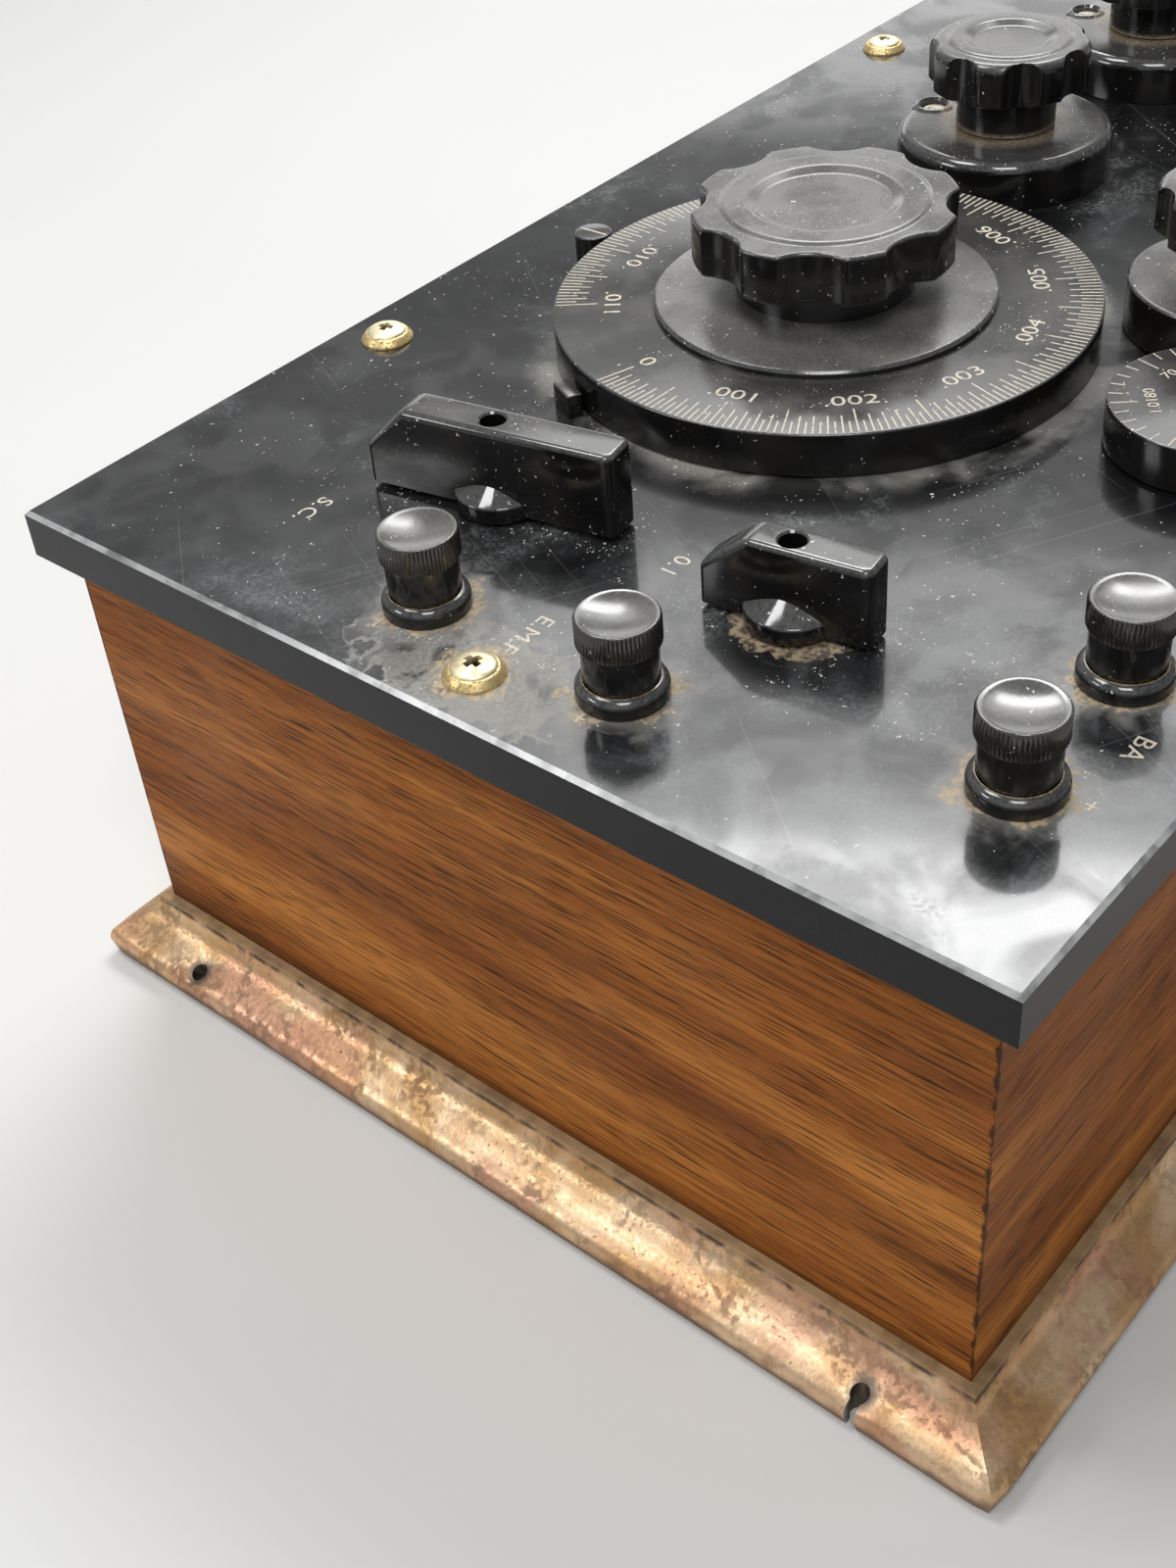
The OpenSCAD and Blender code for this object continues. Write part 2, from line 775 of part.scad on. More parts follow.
module decade_brush() {
    hub_top = bush_foot(stud_plate_t) - contact_gap;
    color(brass) bored_arm(shaft_r, hub_top, stud_ring_r, stud_r, stud_face - contact_gap);
}

// The brush rests on the stud in the middle of the row, which lies towards the front
function stud_turn(k, n) = (k - floor((n - 1) / 2)) * decade_sweep / (n - 1);

module stud_circle(n) {
    for (k = [0:n - 1]) rotate(stud_turn(k, n)) translate([0, -stud_ring_r, 0]) children();
}

module stud_plate(n) {
    difference() {
        tube(stud_plate_r, -panel_t - stud_plate_t, stud_plate_t, bush_hole_r(shaft_r));
        stud_circle(n) translate([0, 0, -panel_t - stud_plate_t - cut])
            cylinder(r = stud_r + slip_fit, h = stud_plate_t + 2 * cut);
    }
}

module decade_1_cover() {
    at(decade_1_at) decade_cover();
}

module decade_1_number_dial() {
    at(decade_1_at) decade_number_dial();
}

module decade_1_knob() {
    at(decade_1_at) decade_knob();
}

module decade_1_shaft() {
    at(decade_1_at) decade_shaft();
}

module decade_1_brush() {
    at(decade_1_at) decade_brush();
}

module decade_2_cover() {
    at(decade_2_at) decade_cover();
}

module decade_2_number_dial() {
    at(decade_2_at) decade_number_dial();
}

module decade_2_knob() {
    at(decade_2_at) decade_knob();
}

module decade_2_shaft() {
    at(decade_2_at) decade_shaft();
}

module decade_2_brush() {
    at(decade_2_at) decade_brush();
}

module decade_stud_plates() {
    color(rubber_black) {
        at(decade_1_at) stud_plate(decade_1_n);
        at(decade_2_at) stud_plate(decade_2_n);
    }
}

module decade_studs() {
    color(brass) {
        at(decade_1_at) stud_circle(decade_1_n) tube(stud_r, stud_face, -panel_t - stud_face);
        at(decade_2_at) stud_circle(decade_2_n) tube(stud_r, stud_face, -panel_t - stud_face);
    }
}

// Standard-cell dial and rheostats

module standard_cell_dial() {
    knob_foot = dial_top - dial_face_t;
    color(rubber_black) at(cell_at) {
        cup_dial(cell_r, dial_top, shaft_r);
        rotate_extrude() difference() {
            turned_section(cell_knob_r, knob_foot, dial_face_t + cell_knob_h, foot_fillet, foot_fillet / 4);
            square([shaft_r + slip_fit, dial_top + cell_knob_h - cap_roof]);
        }
    }
}

module standard_cell_shaft() {
    color(brass) at(cell_at) retained_shaft(shaft_r, dial_top + cell_knob_h - cap_roof - slip_fit, wound_h);
}

module wound_body(place) {
    at(place) tube(wound_r, -panel_t - wound_h, wound_h, bush_hole_r(shaft_r));
}

module standard_cell_resistor() {
    color(bakelite_black) wound_body(cell_at);
}

// A fluted knob standing on a cup-shaped skirt
module rheostat_knob() {
    flute_turn = 0;
    color(bakelite_black) {
        cup_dial(rheostat_skirt_r, rheostat_skirt_top, shaft_r);
        fluted_knob(
            knob_r, knob_top, head_h, knob_fillet, neck_r, rheostat_skirt_top - cut, shaft_r, flute_turn
        );
    }
}

module rheostat_shaft() {
    color(brass) retained_shaft(shaft_r, knob_top - bore_roof - slip_fit, wound_h);
}

module rheostat_coarse_knob() {
    at(coarse_at) rheostat_knob();
}

module rheostat_coarse_shaft() {
    at(coarse_at) rheostat_shaft();
}

module rheostat_fine_knob() {
    at(fine_at) rheostat_knob();
}

module rheostat_fine_shaft() {
    at(fine_at) rheostat_shaft();
}

module rheostat_bodies() {
    color(bakelite_black) {
        wound_body(coarse_at);
        wound_body(fine_at);
    }
}

// Bar switches

// Side view of a bar: x along the bar with the nose at the left, y up
module bar_side(reach, top) {
    polygon([
        [-reach, bar_lift], [reach, bar_lift], [reach, top - bar_round], [reach - bar_round, top],
        [nose_run - reach, top], [-reach, bar_lift + nose_h]
    ]);
    translate([reach - bar_round, top - bar_round]) circle(r = bar_round);
}

// Plan of a bar: the heel's corners are rounded
module bar_plan(reach, w) {
    translate([-reach, -w / 2]) square([2 * reach - heel_round, w]);
    translate([0, heel_round - w / 2]) square([reach, w - 2 * heel_round]);
    for (side = [-1, 1])
        translate([reach - heel_round, side * (w / 2 - heel_round)]) circle(r = heel_round);
}

// End view of a bar: the top edges are rounded
module bar_end(w, top) {
    translate([-w / 2, bar_lift]) square([w, top - bar_lift - bar_round]);
    translate([bar_round - w / 2, top - 2 * bar_round]) square([w - 2 * bar_round, 2 * bar_round]);
    for (side = [-1, 1])
        translate([side * (w / 2 - bar_round), top - bar_round]) circle(r = bar_round);
}

module switch_bar(reach, w, top, turn) {
    color(bakelite_black) rotate(turn) difference() {
        union() {
            rotate(90) intersection() {
                translate([0, w, 0]) rotate([90, 0, 0]) linear_extrude(2 * w) bar_side(reach, top);
                linear_extrude(top + cut) bar_plan(reach, w);
                translate([-reach - cut, 0, 0]) rotate([90, 0, 90])
                    linear_extrude(2 * (reach + cut)) bar_end(w, top);
            }
            rotate_extrude() translate([0, pass_gap]) polygon([
                [0, 0], [boss_r, 0], [boss_r, boss_h], [boss_cone_r, boss_h + boss_cone_h],
                [0, boss_h + boss_cone_h]
            ]);
        }
        cylinder(r = shaft_r + slip_fit, h = bar_screw_z);
        cylinder(r = bar_hole_r, h = top + cut);
    }
}

// The switch shaft carries its contact blade under the deck
module switch_shaft(turn) {
    hub_top = bush_foot(deck_t) - contact_gap;
    color(brass) rotate(turn) {
        tube(shaft_r, hub_top - hub_h, bar_screw_z - hub_top + hub_h - slip_fit);
        contact_arm(shaft_r, hub_top, deck_r - stud_r, stud_r, -panel_t - deck_t - contact_gap);
    }
}

module selector_bar() {
    at(selector_at) switch_bar(long_reach, long_bar_w, long_bar_top, long_turn);
}

module selector_shaft() {
    at(selector_at) switch_shaft(long_turn);
}

module range_bar() {
    at(range_at) switch_bar(short_reach, short_bar_w, short_bar_top, short_turn);
}

module range_shaft() {
    at(range_at) switch_shaft(short_turn);
}

module switch_decks() {
    color(rubber_black) for (place = [selector_at, range_at])
        at(place) tube(deck_r, -panel_t - deck_t, deck_t, bush_hole_r(shaft_r));
}

// Binding posts

module post_collars() {
    color(bakelite_black) for (place = POSTS) at(place) rotate_extrude() difference() {
        turned_section(collar_r, 0, collar_h, collar_round, foot_fillet / 4);
        square([post_stud_r + slip_fit, collar_h]);
    }
}

// A screw from below, with its head against the panel's underside
module post_studs() {
    color(brass) for (place = POSTS) at(place) {
        tube(post_stud_r, -panel_t, panel_t + cap_top - cap_roof - slip_fit);
        tube(post_head_r, -panel_t - post_head_h, post_head_h);
    }
}

module post_cap(place) {
    rim_r = cap_r - foot_fillet / 2;
    dish_r = (rim_r * rim_r + cap_dish * cap_dish) / (2 * cap_dish);
    foot = collar_h + cap_gap;
    color(bakelite_black) at(place) rotate_extrude() difference() {
        union() {
            translate([0, foot]) square([cap_foot_r, cap_top - foot - cap_band_h]);
            translate([0, cap_top - cap_band_h]) square([cap_r, cap_band_h]);
        }
        square([post_stud_r + running_fit, cap_top - cap_roof]);
        translate([0, cap_top + dish_r - cap_dish]) intersection() {
            circle(r = dish_r);
            translate([0, -dish_r]) square([dish_r, dish_r]);
        }
    }
}

module emf_plus_cap() {
    post_cap(emf_plus_at);
}

module emf_minus_cap() {
    post_cap(emf_minus_at);
}

module battery_plus_cap() {
    post_cap(battery_plus_at);
}

module battery_minus_cap() {
    post_cap(battery_minus_at);
}

module cell_plus_cap() {
    post_cap(cell_plus_at);
}

module cell_minus_cap() {
    post_cap(cell_minus_at);
}

module galvanometer_left_cap() {
    post_cap(galvanometer_left_at);
}

module galvanometer_right_cap() {
    post_cap(galvanometer_right_at);
}

// Galvanometer keys

// A domed button on a stem that is kept in by a collar under its bush
module key(place) {
    foot = key_travel + pass_gap;
    color(bakelite_black) at(place) {
        rotate_extrude() turned_section(key_r, foot, key_h, key_h / 2, foot_fillet);
        retained_shaft(key_stem_r, foot + foot_fillet, 0);
    }
}

module key_coarse() {
    key(key_coarse_at);
}

module key_fine() {
    key(key_fine_at);
}

// A bent strip that hangs beside each key's bush, with its blade under the stem at the end of its travel
module key_contacts() {
    leg_at = bush_r(key_stem_r) + bush_flange_w + pass_gap;
    pressed = bush_foot(0) - contact_gap - retainer_h - shaft_tip - key_travel;
    blade = pressed - contact_gap;
    color(brass) for (place = [key_coarse_at, key_fine_at])
        at(place) rotate([90, 0, -90]) translate([0, 0, -arm_w / 2]) linear_extrude(arm_w)
            polygon([
                [leg_at, -panel_t], [leg_at + strip_foot_l, -panel_t],
                [leg_at + strip_foot_l, -panel_t - strip_t], [leg_at + strip_t, -panel_t - strip_t],
                [leg_at + strip_t, blade - strip_t], [-key_stem_r, blade - strip_t], [-key_stem_r, blade],
                [leg_at, blade]
            ]);
}

bottom_board();
base_moulding_front();
base_moulding_back();
base_moulding_left();
base_moulding_right();
wall_front();
wall_back();
wall_left();
wall_right();
panel();
panel_screws();
panel_screw_cups();
slide_wire_dial();
slide_wire_skirt();
slide_wire_knob();
slide_wire_shaft();
slide_wire_wiper();
slide_wire_drum();
slide_wire_wire();
slide_wire_index();
slide_wire_stop();
decade_1_cover();
decade_1_number_dial();
decade_1_knob();
decade_1_shaft();
decade_1_brush();
decade_2_cover();
decade_2_number_dial();
decade_2_knob();
decade_2_shaft();
decade_2_brush();
decade_stud_plates();
decade_studs();
shaft_bushes();
standard_cell_dial();
standard_cell_shaft();
standard_cell_resistor();
rheostat_coarse_knob();
rheostat_coarse_shaft();
rheostat_fine_knob();
rheostat_fine_shaft();
rheostat_bodies();
selector_bar();
selector_shaft();
range_bar();
range_shaft();
switch_decks();
post_collars();
post_studs();
emf_plus_cap();
emf_minus_cap();
battery_plus_cap();
battery_minus_cap();
cell_plus_cap();
cell_minus_cap();
galvanometer_left_cap();
galvanometer_right_cap();
key_coarse();
key_fine();
key_contacts();
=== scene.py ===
"""Looks of a laboratory potentiometer: a mahogany case on a bronzed foot, under a panel of controls."""
import json
import math
import bmesh
import bpy
from mathutils import Matrix, Vector, noise
from mathutils.geometry import interpolate_bezier


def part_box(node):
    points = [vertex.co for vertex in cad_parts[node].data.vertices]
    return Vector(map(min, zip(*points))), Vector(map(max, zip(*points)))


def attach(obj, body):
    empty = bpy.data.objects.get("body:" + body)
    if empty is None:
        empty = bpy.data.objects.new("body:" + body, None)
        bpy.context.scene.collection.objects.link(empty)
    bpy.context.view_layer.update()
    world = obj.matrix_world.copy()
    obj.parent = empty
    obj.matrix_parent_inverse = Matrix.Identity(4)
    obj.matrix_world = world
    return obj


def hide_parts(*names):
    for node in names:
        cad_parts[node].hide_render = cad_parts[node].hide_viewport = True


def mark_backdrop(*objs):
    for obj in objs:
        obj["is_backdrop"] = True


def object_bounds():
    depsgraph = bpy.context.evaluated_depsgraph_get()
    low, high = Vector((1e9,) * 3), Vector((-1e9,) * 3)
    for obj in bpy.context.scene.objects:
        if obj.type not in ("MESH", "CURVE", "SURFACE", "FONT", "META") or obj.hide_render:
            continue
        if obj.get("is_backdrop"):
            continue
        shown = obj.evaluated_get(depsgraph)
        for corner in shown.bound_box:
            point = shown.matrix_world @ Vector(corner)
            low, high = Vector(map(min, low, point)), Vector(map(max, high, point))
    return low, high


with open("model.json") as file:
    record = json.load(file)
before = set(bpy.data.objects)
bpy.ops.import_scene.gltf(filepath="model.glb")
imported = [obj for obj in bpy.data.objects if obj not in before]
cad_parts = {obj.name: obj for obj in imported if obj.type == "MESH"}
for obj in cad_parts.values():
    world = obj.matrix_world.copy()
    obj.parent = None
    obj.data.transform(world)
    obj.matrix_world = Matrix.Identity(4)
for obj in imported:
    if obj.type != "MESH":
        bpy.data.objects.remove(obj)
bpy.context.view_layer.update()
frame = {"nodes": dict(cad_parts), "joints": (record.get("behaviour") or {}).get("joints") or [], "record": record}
nodes = frame["nodes"]

# Base moulding
# Four mitred lengths of wood under a bronze skin worn to gold, copper and brown, pinned round the case's
# foot. The two ends are drilled for bench screws, which have dished the skin, and one hole has split out.
MM = 0.001
WELD = 0.001 * MM
SHARP_ANGLE = math.radians(32)
case_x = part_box("wall_right")[1].x
case_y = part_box("wall_back")[1].y
foot_low, foot_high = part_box("base_moulding_right")
foot_out = foot_high.x - case_x
foot_in = case_x - foot_low.x
foot_h = foot_high.z
bench_holes = next(m for m in frame["record"]["mounts"] if m["name"] == "bench_holes")["dims"]
hole_r = bench_holes["hole_r_mm"] * MM
hole_x = bench_holes["spacing_x_mm"] / 2 * MM
hole_y = bench_holes["spacing_y_mm"] / 2 * MM
ledge_w = 2.6 * MM
ledge_round = 0.6 * MM
step_h = 1.2 * MM
nose_r = 4.2 * MM
nose_tuck = 1.4 * MM
ogee_pulls = (Vector((4.2, 7.6)) * MM, Vector((13.6, 10.4)) * MM)
split_w = 2.4 * MM
dish_depth = 1.1 * MM
dish_r = 3.4 * MM
ripple = 0.06 * MM
tip_wear = 0.9 * MM
tip_reach = 6 * MM
OGEE_STEPS = 20
RUN_CUTS = 70
HOLE_CUTS = 8
hole_cut_gap = 0.7 * MM
RIPPLES = 90


def rounded_line(corners, arcs):
    """Points of a line through (x, y) corners, or (x, y, reach) ones with an arc from that reach."""
    points = []
    for k, (x, y, *rounding) in enumerate(corners):
        corner = Vector((x, y))
        if not rounding:
            points.append(corner)
            continue
        reach = rounding[0]
        back = (Vector(corners[k - 1][:2]) - corner).normalized()
        onward = (Vector(corners[k + 1][:2]) - corner).normalized()
        centre = corner + (back + onward).normalized() * reach / math.cos(back.angle(onward) / 2)
        first = corner + back * reach - centre
        last = corner + onward * reach - centre
        points += [centre + first.length * first.slerp(last, step / arcs) for step in range(arcs + 1)]
    return [p for k, p in enumerate(points) if k == 0 or (p - points[k - 1]).length > WELD]


def whole(bm):
    return bm.verts[:] + bm.edges[:] + bm.faces[:]


def corners_of(shapes):
    return [v for v in shapes if isinstance(v, bmesh.types.BMVert)]


def drawn_out(outline, run):
    """A solid drawn along Y from a flat outline."""
    bm = bmesh.new()
    end = bm.faces.new([bm.verts.new(corner) for corner in outline])
    drawn = bmesh.ops.extrude_face_region(bm, geom=[end])["geom"]
    bmesh.ops.translate(bm, vec=(0, run, 0), verts=corners_of(drawn))
    return bm


def placed(name, data):
    """A new object in the scene."""
    obj = bpy.data.objects.new(name, data)
    bpy.context.scene.collection.objects.link(obj)
    return obj


def solid(name, bm):
    """A new object in the scene with a bmesh's shape."""
    mesh = bpy.data.meshes.new(name)
    bm.to_mesh(mesh)
    bm.free()
    return placed(name, mesh)


def worked(bm, tool, how="DIFFERENCE"):
    """The bmesh with the tool's shape taken out of it, or joined to it."""
    holders = []
    for shape in (bm, tool):
        bmesh.ops.recalc_face_normals(shape, faces=shape.faces)
        holders.append(solid("blank", shape))
    saw = holders[0].modifiers.new("saw", "BOOLEAN")
    saw.object = holders[1]
    saw.operation = how
    saw.solver = "MANIFOLD"
    graph = bpy.context.evaluated_depsgraph_get()
    left = bmesh.new()
    left.from_mesh(holders[0].evaluated_get(graph).to_mesh())
    for holder in holders:
        bpy.data.objects.remove(holder)
    return left


def piece(name, bm, material, body, slot, *stands_for):
    """Closes a bmesh into an object that rides on a body, smooth but for its steep edges."""
    bmesh.ops.remove_doubles(bm, verts=bm.verts, dist=WELD)
    bmesh.ops.recalc_face_normals(bm, faces=bm.faces)
    for face in bm.faces:
        face.smooth = True
    for edge in bm.edges:
        edge.smooth = edge.calc_face_angle(math.pi) < SHARP_ANGLE
    obj = solid(name, bm)
    obj.data.materials.append(material)
    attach(obj, body)
    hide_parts(*stands_for)


def moulding_length(half_run, wall_reach, turn, holes, split):
    """One mitred length, made with its section outwards along X and its run along Y, then turned."""
    ogee = [Vector((foot_out, nose_r)), ogee_pulls[1], ogee_pulls[0], Vector((ledge_w, foot_h - step_h))]
    ogee = [point.xy for point in interpolate_bezier(*[pull.to_3d() for pull in ogee], OGEE_STEPS)]
    section = rounded_line(
        [(-foot_in, 0), (foot_out - nose_tuck, 0)] + ogee
        + [(ledge_w, foot_h, ledge_round), (-foot_in, foot_h)], arcs=5)
    far = half_run + 2 * foot_out
    bm = drawn_out([(out, -far, up) for out, up in section], 2 * far)
    for side in (-1, 1):
        mitre = bmesh.ops.bisect_plane(
            bm, geom=whole(bm), plane_co=(0, side * half_run, 0), plane_no=(-1, side, 0), clear_outer=True,
        )["geom_cut"]
        bmesh.ops.edgeloop_fill(bm, edges=[e for e in mitre if isinstance(e, bmesh.types.BMEdge)])
    lengthwise = [e for e in bm.edges if abs(e.verts[0].co.y - e.verts[1].co.y) > half_run]
    bmesh.ops.subdivide_edges(bm, edges=lengthwise, cuts=RUN_CUTS, use_grid_fill=True)
    for hole in holes:
        for k in range(-HOLE_CUTS, HOLE_CUTS + 1):
            bmesh.ops.bisect_plane(
                bm, geom=whole(bm), plane_co=(0, hole + k * hole_cut_gap, 0), plane_no=(0, 1, 0))
    for vert in bm.verts:
        out, along, up = vert.co
        tip = math.hypot(out - foot_out, abs(along) - half_run - foot_out)
        worn = tip_wear * max(0, 1 - tip / tip_reach) ** 2
        vert.co.x -= worn
        vert.co.y -= math.copysign(worn, along)
        if out > ledge_w * 1.01 and up > nose_r / 2:
            vert.co.z += ripple * noise.noise(Vector((out, along / 2, wall_reach)) * RIPPLES)
            for hole in holes:
                away = math.hypot(out - hole_x + case_x, along - hole)
                vert.co.z -= dish_depth * math.exp(-((away / dish_r) ** 2))
    for hole in holes:
        drill = bmesh.new()
        bmesh.ops.create_cone(
            drill, cap_ends=True, segments=40, radius1=hole_r, radius2=hole_r, depth=4 * foot_h,
            matrix=Matrix.Translation((hole_x - case_x, hole, 0)),
        )
        bm = worked(bm, drill)
    if split:
        tear = bmesh.new()
        bmesh.ops.create_cube(tear, matrix=Matrix.LocRotScale(
            (hole_x - case_x + foot_out / 2, hole_y, 0), None, (foot_out, split_w, 4 * foot_h)))
        bm = worked(bm, tear)
    place = Matrix.Rotation(turn, 4, "Z") @ Matrix.Translation((wall_reach, 0, 0))
    bmesh.ops.transform(bm, matrix=place, verts=bm.verts)
    return bm


def node(beside, kind, inputs=(), **settings):
    """A shader node in the tree of a socket or node, its inputs set to values or linked to sockets."""
    tree = beside.id_data
    made = tree.nodes.new("ShaderNode" + kind)
    for name, value in settings.items():
        setattr(made, name, value)
    for key, value in dict(inputs).items():
        if isinstance(value, bpy.types.NodeSocket):
            tree.links.new(value, made.inputs[key])
        else:
            made.inputs[key].default_value = value
    return made


def calc(operation, value, *others):
    """A value worked on by each of the others in turn."""
    for other in others:
        value = node(value, "Math", {0: value, 1: other}, operation=operation).outputs[0]
    return value


def times(*values):
    return calc("MULTIPLY", *values)


def plus(*values):
    return calc("ADD", *values)


def less(*values):
    return calc("SUBTRACT", *values)


def most(*values):
    return calc("MAXIMUM", *values)


def fade(value, start, end, low=0.0, high=1.0):
    """Runs smoothly from low to high as a value goes from start to end."""
    return node(value, "MapRange", {
        "Value": value, "From Min": start, "From Max": end, "To Min": low, "To Max": high,
    }, interpolation_type="SMOOTHSTEP").outputs[0]


def blend(share, under, over):
    """One colour laid over another."""
    return node(share, "Mix", {0: share, 6: under, 7: over}, data_type="RGBA").outputs[2]


def cloud(where, scale, detail=4.0, twist=0.0):
    return node(where, "TexNoise", {
        "Vector": where, "Scale": scale, "Detail": detail, "Distortion": twist,
    }).outputs[0]


def stretched(where, x, y, z):
    """Coordinates multiplied by (x, y, z), to draw a pattern out along one of them."""
    return node(where, "Mapping", {"Vector": where, "Scale": (x, y, z)}).outputs[0]


def away_from(where, place, reach):
    """Distance from an upright line through place, in units of reach = (x, y)."""
    moved = node(where, "VectorMath", {0: where, 1: (-place[0], -place[1], 0)}, operation="ADD").outputs[0]
    flat = stretched(moved, 1 / reach[0], 1 / reach[1], 0)
    return node(flat, "VectorMath", {0: flat}, operation="LENGTH").outputs["Value"]


def finish(name, **plain):
    """A material with plain values on its shader's sockets: the material, its shader, its coordinates."""
    material = bpy.data.materials.new(name)
    material.use_nodes = True
    shader = material.node_tree.nodes["Principled BSDF"]
    for socket, value in plain.items():
        shader.inputs[socket.replace("_", " ")].default_value = value
    return material, shader, node(shader, "TexCoord").outputs["Object"]


def drive(shader, **sockets):
    """Links what varies over the surface to the shader's sockets."""
    for socket, value in sockets.items():
        shader.id_data.links.new(value, shader.inputs[socket.replace("_", " ")])


def bumpy(shader, height, strength, depth):
    bump = node(shader, "Bump", {"Height": height, "Strength": strength, "Distance": depth})
    drive(shader, Normal=bump.outputs[0])


def mirrored(where):
    """Coordinates folded over into the rear right quarter, for marks that are alike in all four."""
    return node(where, "VectorMath", {0: where}, operation="ABSOLUTE").outputs[0]


GOLD = (0.64, 0.39, 0.18, 1)
PALE_GOLD = (0.88, 0.64, 0.41, 1)
COPPER = (0.66, 0.35, 0.23, 1)
TORN_SKIN = (0.75, 0.74, 0.70, 1)
FOOT_BROWN = (0.12, 0.062, 0.03, 1)
LEDGE_TAN = (0.34, 0.215, 0.105, 1)
SHADE_AND_GRIME = (0.035, 0.026, 0.018, 1)
SCREW_GREY = (0.13, 0.115, 0.10, 1)
bronze, shader, where = finish("worn_bronze")
up = node(where, "SeparateXYZ", {0: where}).outputs[2]
drift = cloud(where, 55, 4, 0.4)
mottle = cloud(where, 170, 5)
flecks = cloud(where, 900, 2)
colour = blend(fade(drift, 0.38, 0.62), GOLD, PALE_GOLD)
colour = blend(fade(cloud(where, 38, 4, 0.5), 0.45, 0.62, 0, 0.8), colour, COPPER)
low_band = fade(plus(up, times(mottle, 5 * MM)), 8.4 * MM, 5.2 * MM)
colour = blend(times(low_band, 0.8), colour, FOOT_BROWN)
worn_patch = fade(cloud(where, 75, 5, 0.8), 0.43, 0.62)
speckle = fade(cloud(where, 520, 4), 0.42, 0.57)
spots = times(worn_patch, speckle, 0.58)
spots = most(spots, fade(flecks, 0.62, 0.75, 0, 0.6))
colour = blend(spots, colour, FOOT_BROWN)
on_ledge = fade(up, foot_h - step_h * 0.45, foot_h - step_h * 0.2)
colour = blend(on_ledge, colour, LEDGE_TAN)
colour = blend(times(on_ledge, fade(mottle, 0.4, 0.7, 0, 0.6)), colour, FOOT_BROWN)
below_ledge = fade(on_ledge, 1, 0)
# Painted shade with some grime: the riser under the ledge and the top of the ogee beside it are painted near
# black.
step_shade_and_grime = times(fade(up, foot_h - 1.7 * step_h, foot_h - step_h), below_ledge)
colour = blend(times(step_shade_and_grime, fade(mottle, 0.35, 0.6, 0.25, 0.9)), colour, SHADE_AND_GRIME)
near_hole = away_from(mirrored(where), (hole_x, hole_y), (MM, MM))
dished = fade(plus(near_hole, times(mottle, 3)), 5.6, 3.6)
colour = blend(times(dished, 0.85), colour, SCREW_GREY)
from_split = away_from(where, (hole_x + foot_out / 2, hole_y), (foot_out / 2, split_w * 0.52))
in_split = times(fade(from_split, 1.2, 1.0), fade(flecks, 0.4, 0.5))
colour = blend(in_split, colour, TORN_SKIN)
dull = most(spots, on_ledge, step_shade_and_grime, low_band)
rough = plus(fade(dull, 0, 1, 0.4, 0.62), fade(flecks, 0.3, 0.7, -0.06, 0.1))
drive(shader, Base_Color=colour, Metallic=fade(dull, 0, 1, 0.92, 0.25), Roughness=rough)
bumpy(shader, plus(flecks, times(mottle, 1.5)), 0.25, 0.3 * MM)

END_HOLES = (-hole_y, hole_y)
for side, half_run, wall_reach, turn, holes in (
    ("front", case_x, case_y, -math.pi / 2, ()), ("back", case_x, case_y, math.pi / 2, ()),
    ("left", case_y, case_x, math.pi, END_HOLES), ("right", case_y, case_x, 0, END_HOLES),
):
    length = moulding_length(half_run, wall_reach, turn, holes, side == "right")
    piece("moulding_" + side, length, bronze, "case", "bronzed_wood", "base_moulding_" + side)

# Bottom board and walls
# Mahogany planks, mitred at the corners, glued and varnished. The grain runs along each plank, with dark
# open pores, and the board lies on the lip of the moulding between the walls.


def effect(name, inputs, outputs):
    """An empty node group: its tree, the sockets it is given and the sockets it fills."""
    made = bpy.data.node_groups.new(name, "ShaderNodeTree")
    for label, kind in inputs.items():
        made.interface.new_socket(label, in_out="INPUT", socket_type="NodeSocket" + kind)
    for label, kind in outputs.items():
        made.interface.new_socket(label, in_out="OUTPUT", socket_type="NodeSocket" + kind)
    return made, made.nodes.new("NodeGroupInput").outputs, made.nodes.new("NodeGroupOutput").inputs


def use(beside, group, **inputs):
    """Places a node group in the tree of a socket and returns its outputs."""
    return node(beside, "Group", inputs, node_tree=group).outputs


def dress(material, *names):
    """Gives CAD nodes their finish."""
    for name in names:
        nodes[name].data.materials[0] = material


WOOD_LIGHT = (0.54, 0.21, 0.042, 1)
WOOD_MID = (0.32, 0.102, 0.018, 1)
WOOD_DARK = (0.17, 0.049, 0.010, 1)
PORE_AND_SHADE = (0.022, 0.009, 0.004, 1)
grain, given, made = effect("mahogany_grain", {"Along": "Vector"}, {"Colour": "Color", "Height": "Float"})
bands = cloud(stretched(given["Along"], 4, 48, 48), 1, 4, 0.7)
fibres = cloud(stretched(given["Along"], 20, 850, 850), 1, 3)
pores = cloud(stretched(given["Along"], 100, 4000, 4000), 1, 0)
long_pores = cloud(stretched(given["Along"], 40, 2900, 2900), 1, 1)
tone = plus(times(bands, 0.72), times(fibres, 0.28))
colour = blend(fade(tone, 0.3, 0.52), WOOD_DARK, WOOD_MID)
colour = blend(fade(tone, 0.46, 0.7), colour, WOOD_LIGHT)
open_pores = most(fade(pores, 0.6, 0.72), fade(long_pores, 0.6, 0.74))
colour = blend(times(open_pores, 0.8), colour, PORE_AND_SHADE)
grain.links.new(colour, made["Colour"])
grain.links.new(less(fibres, open_pores), made["Height"])


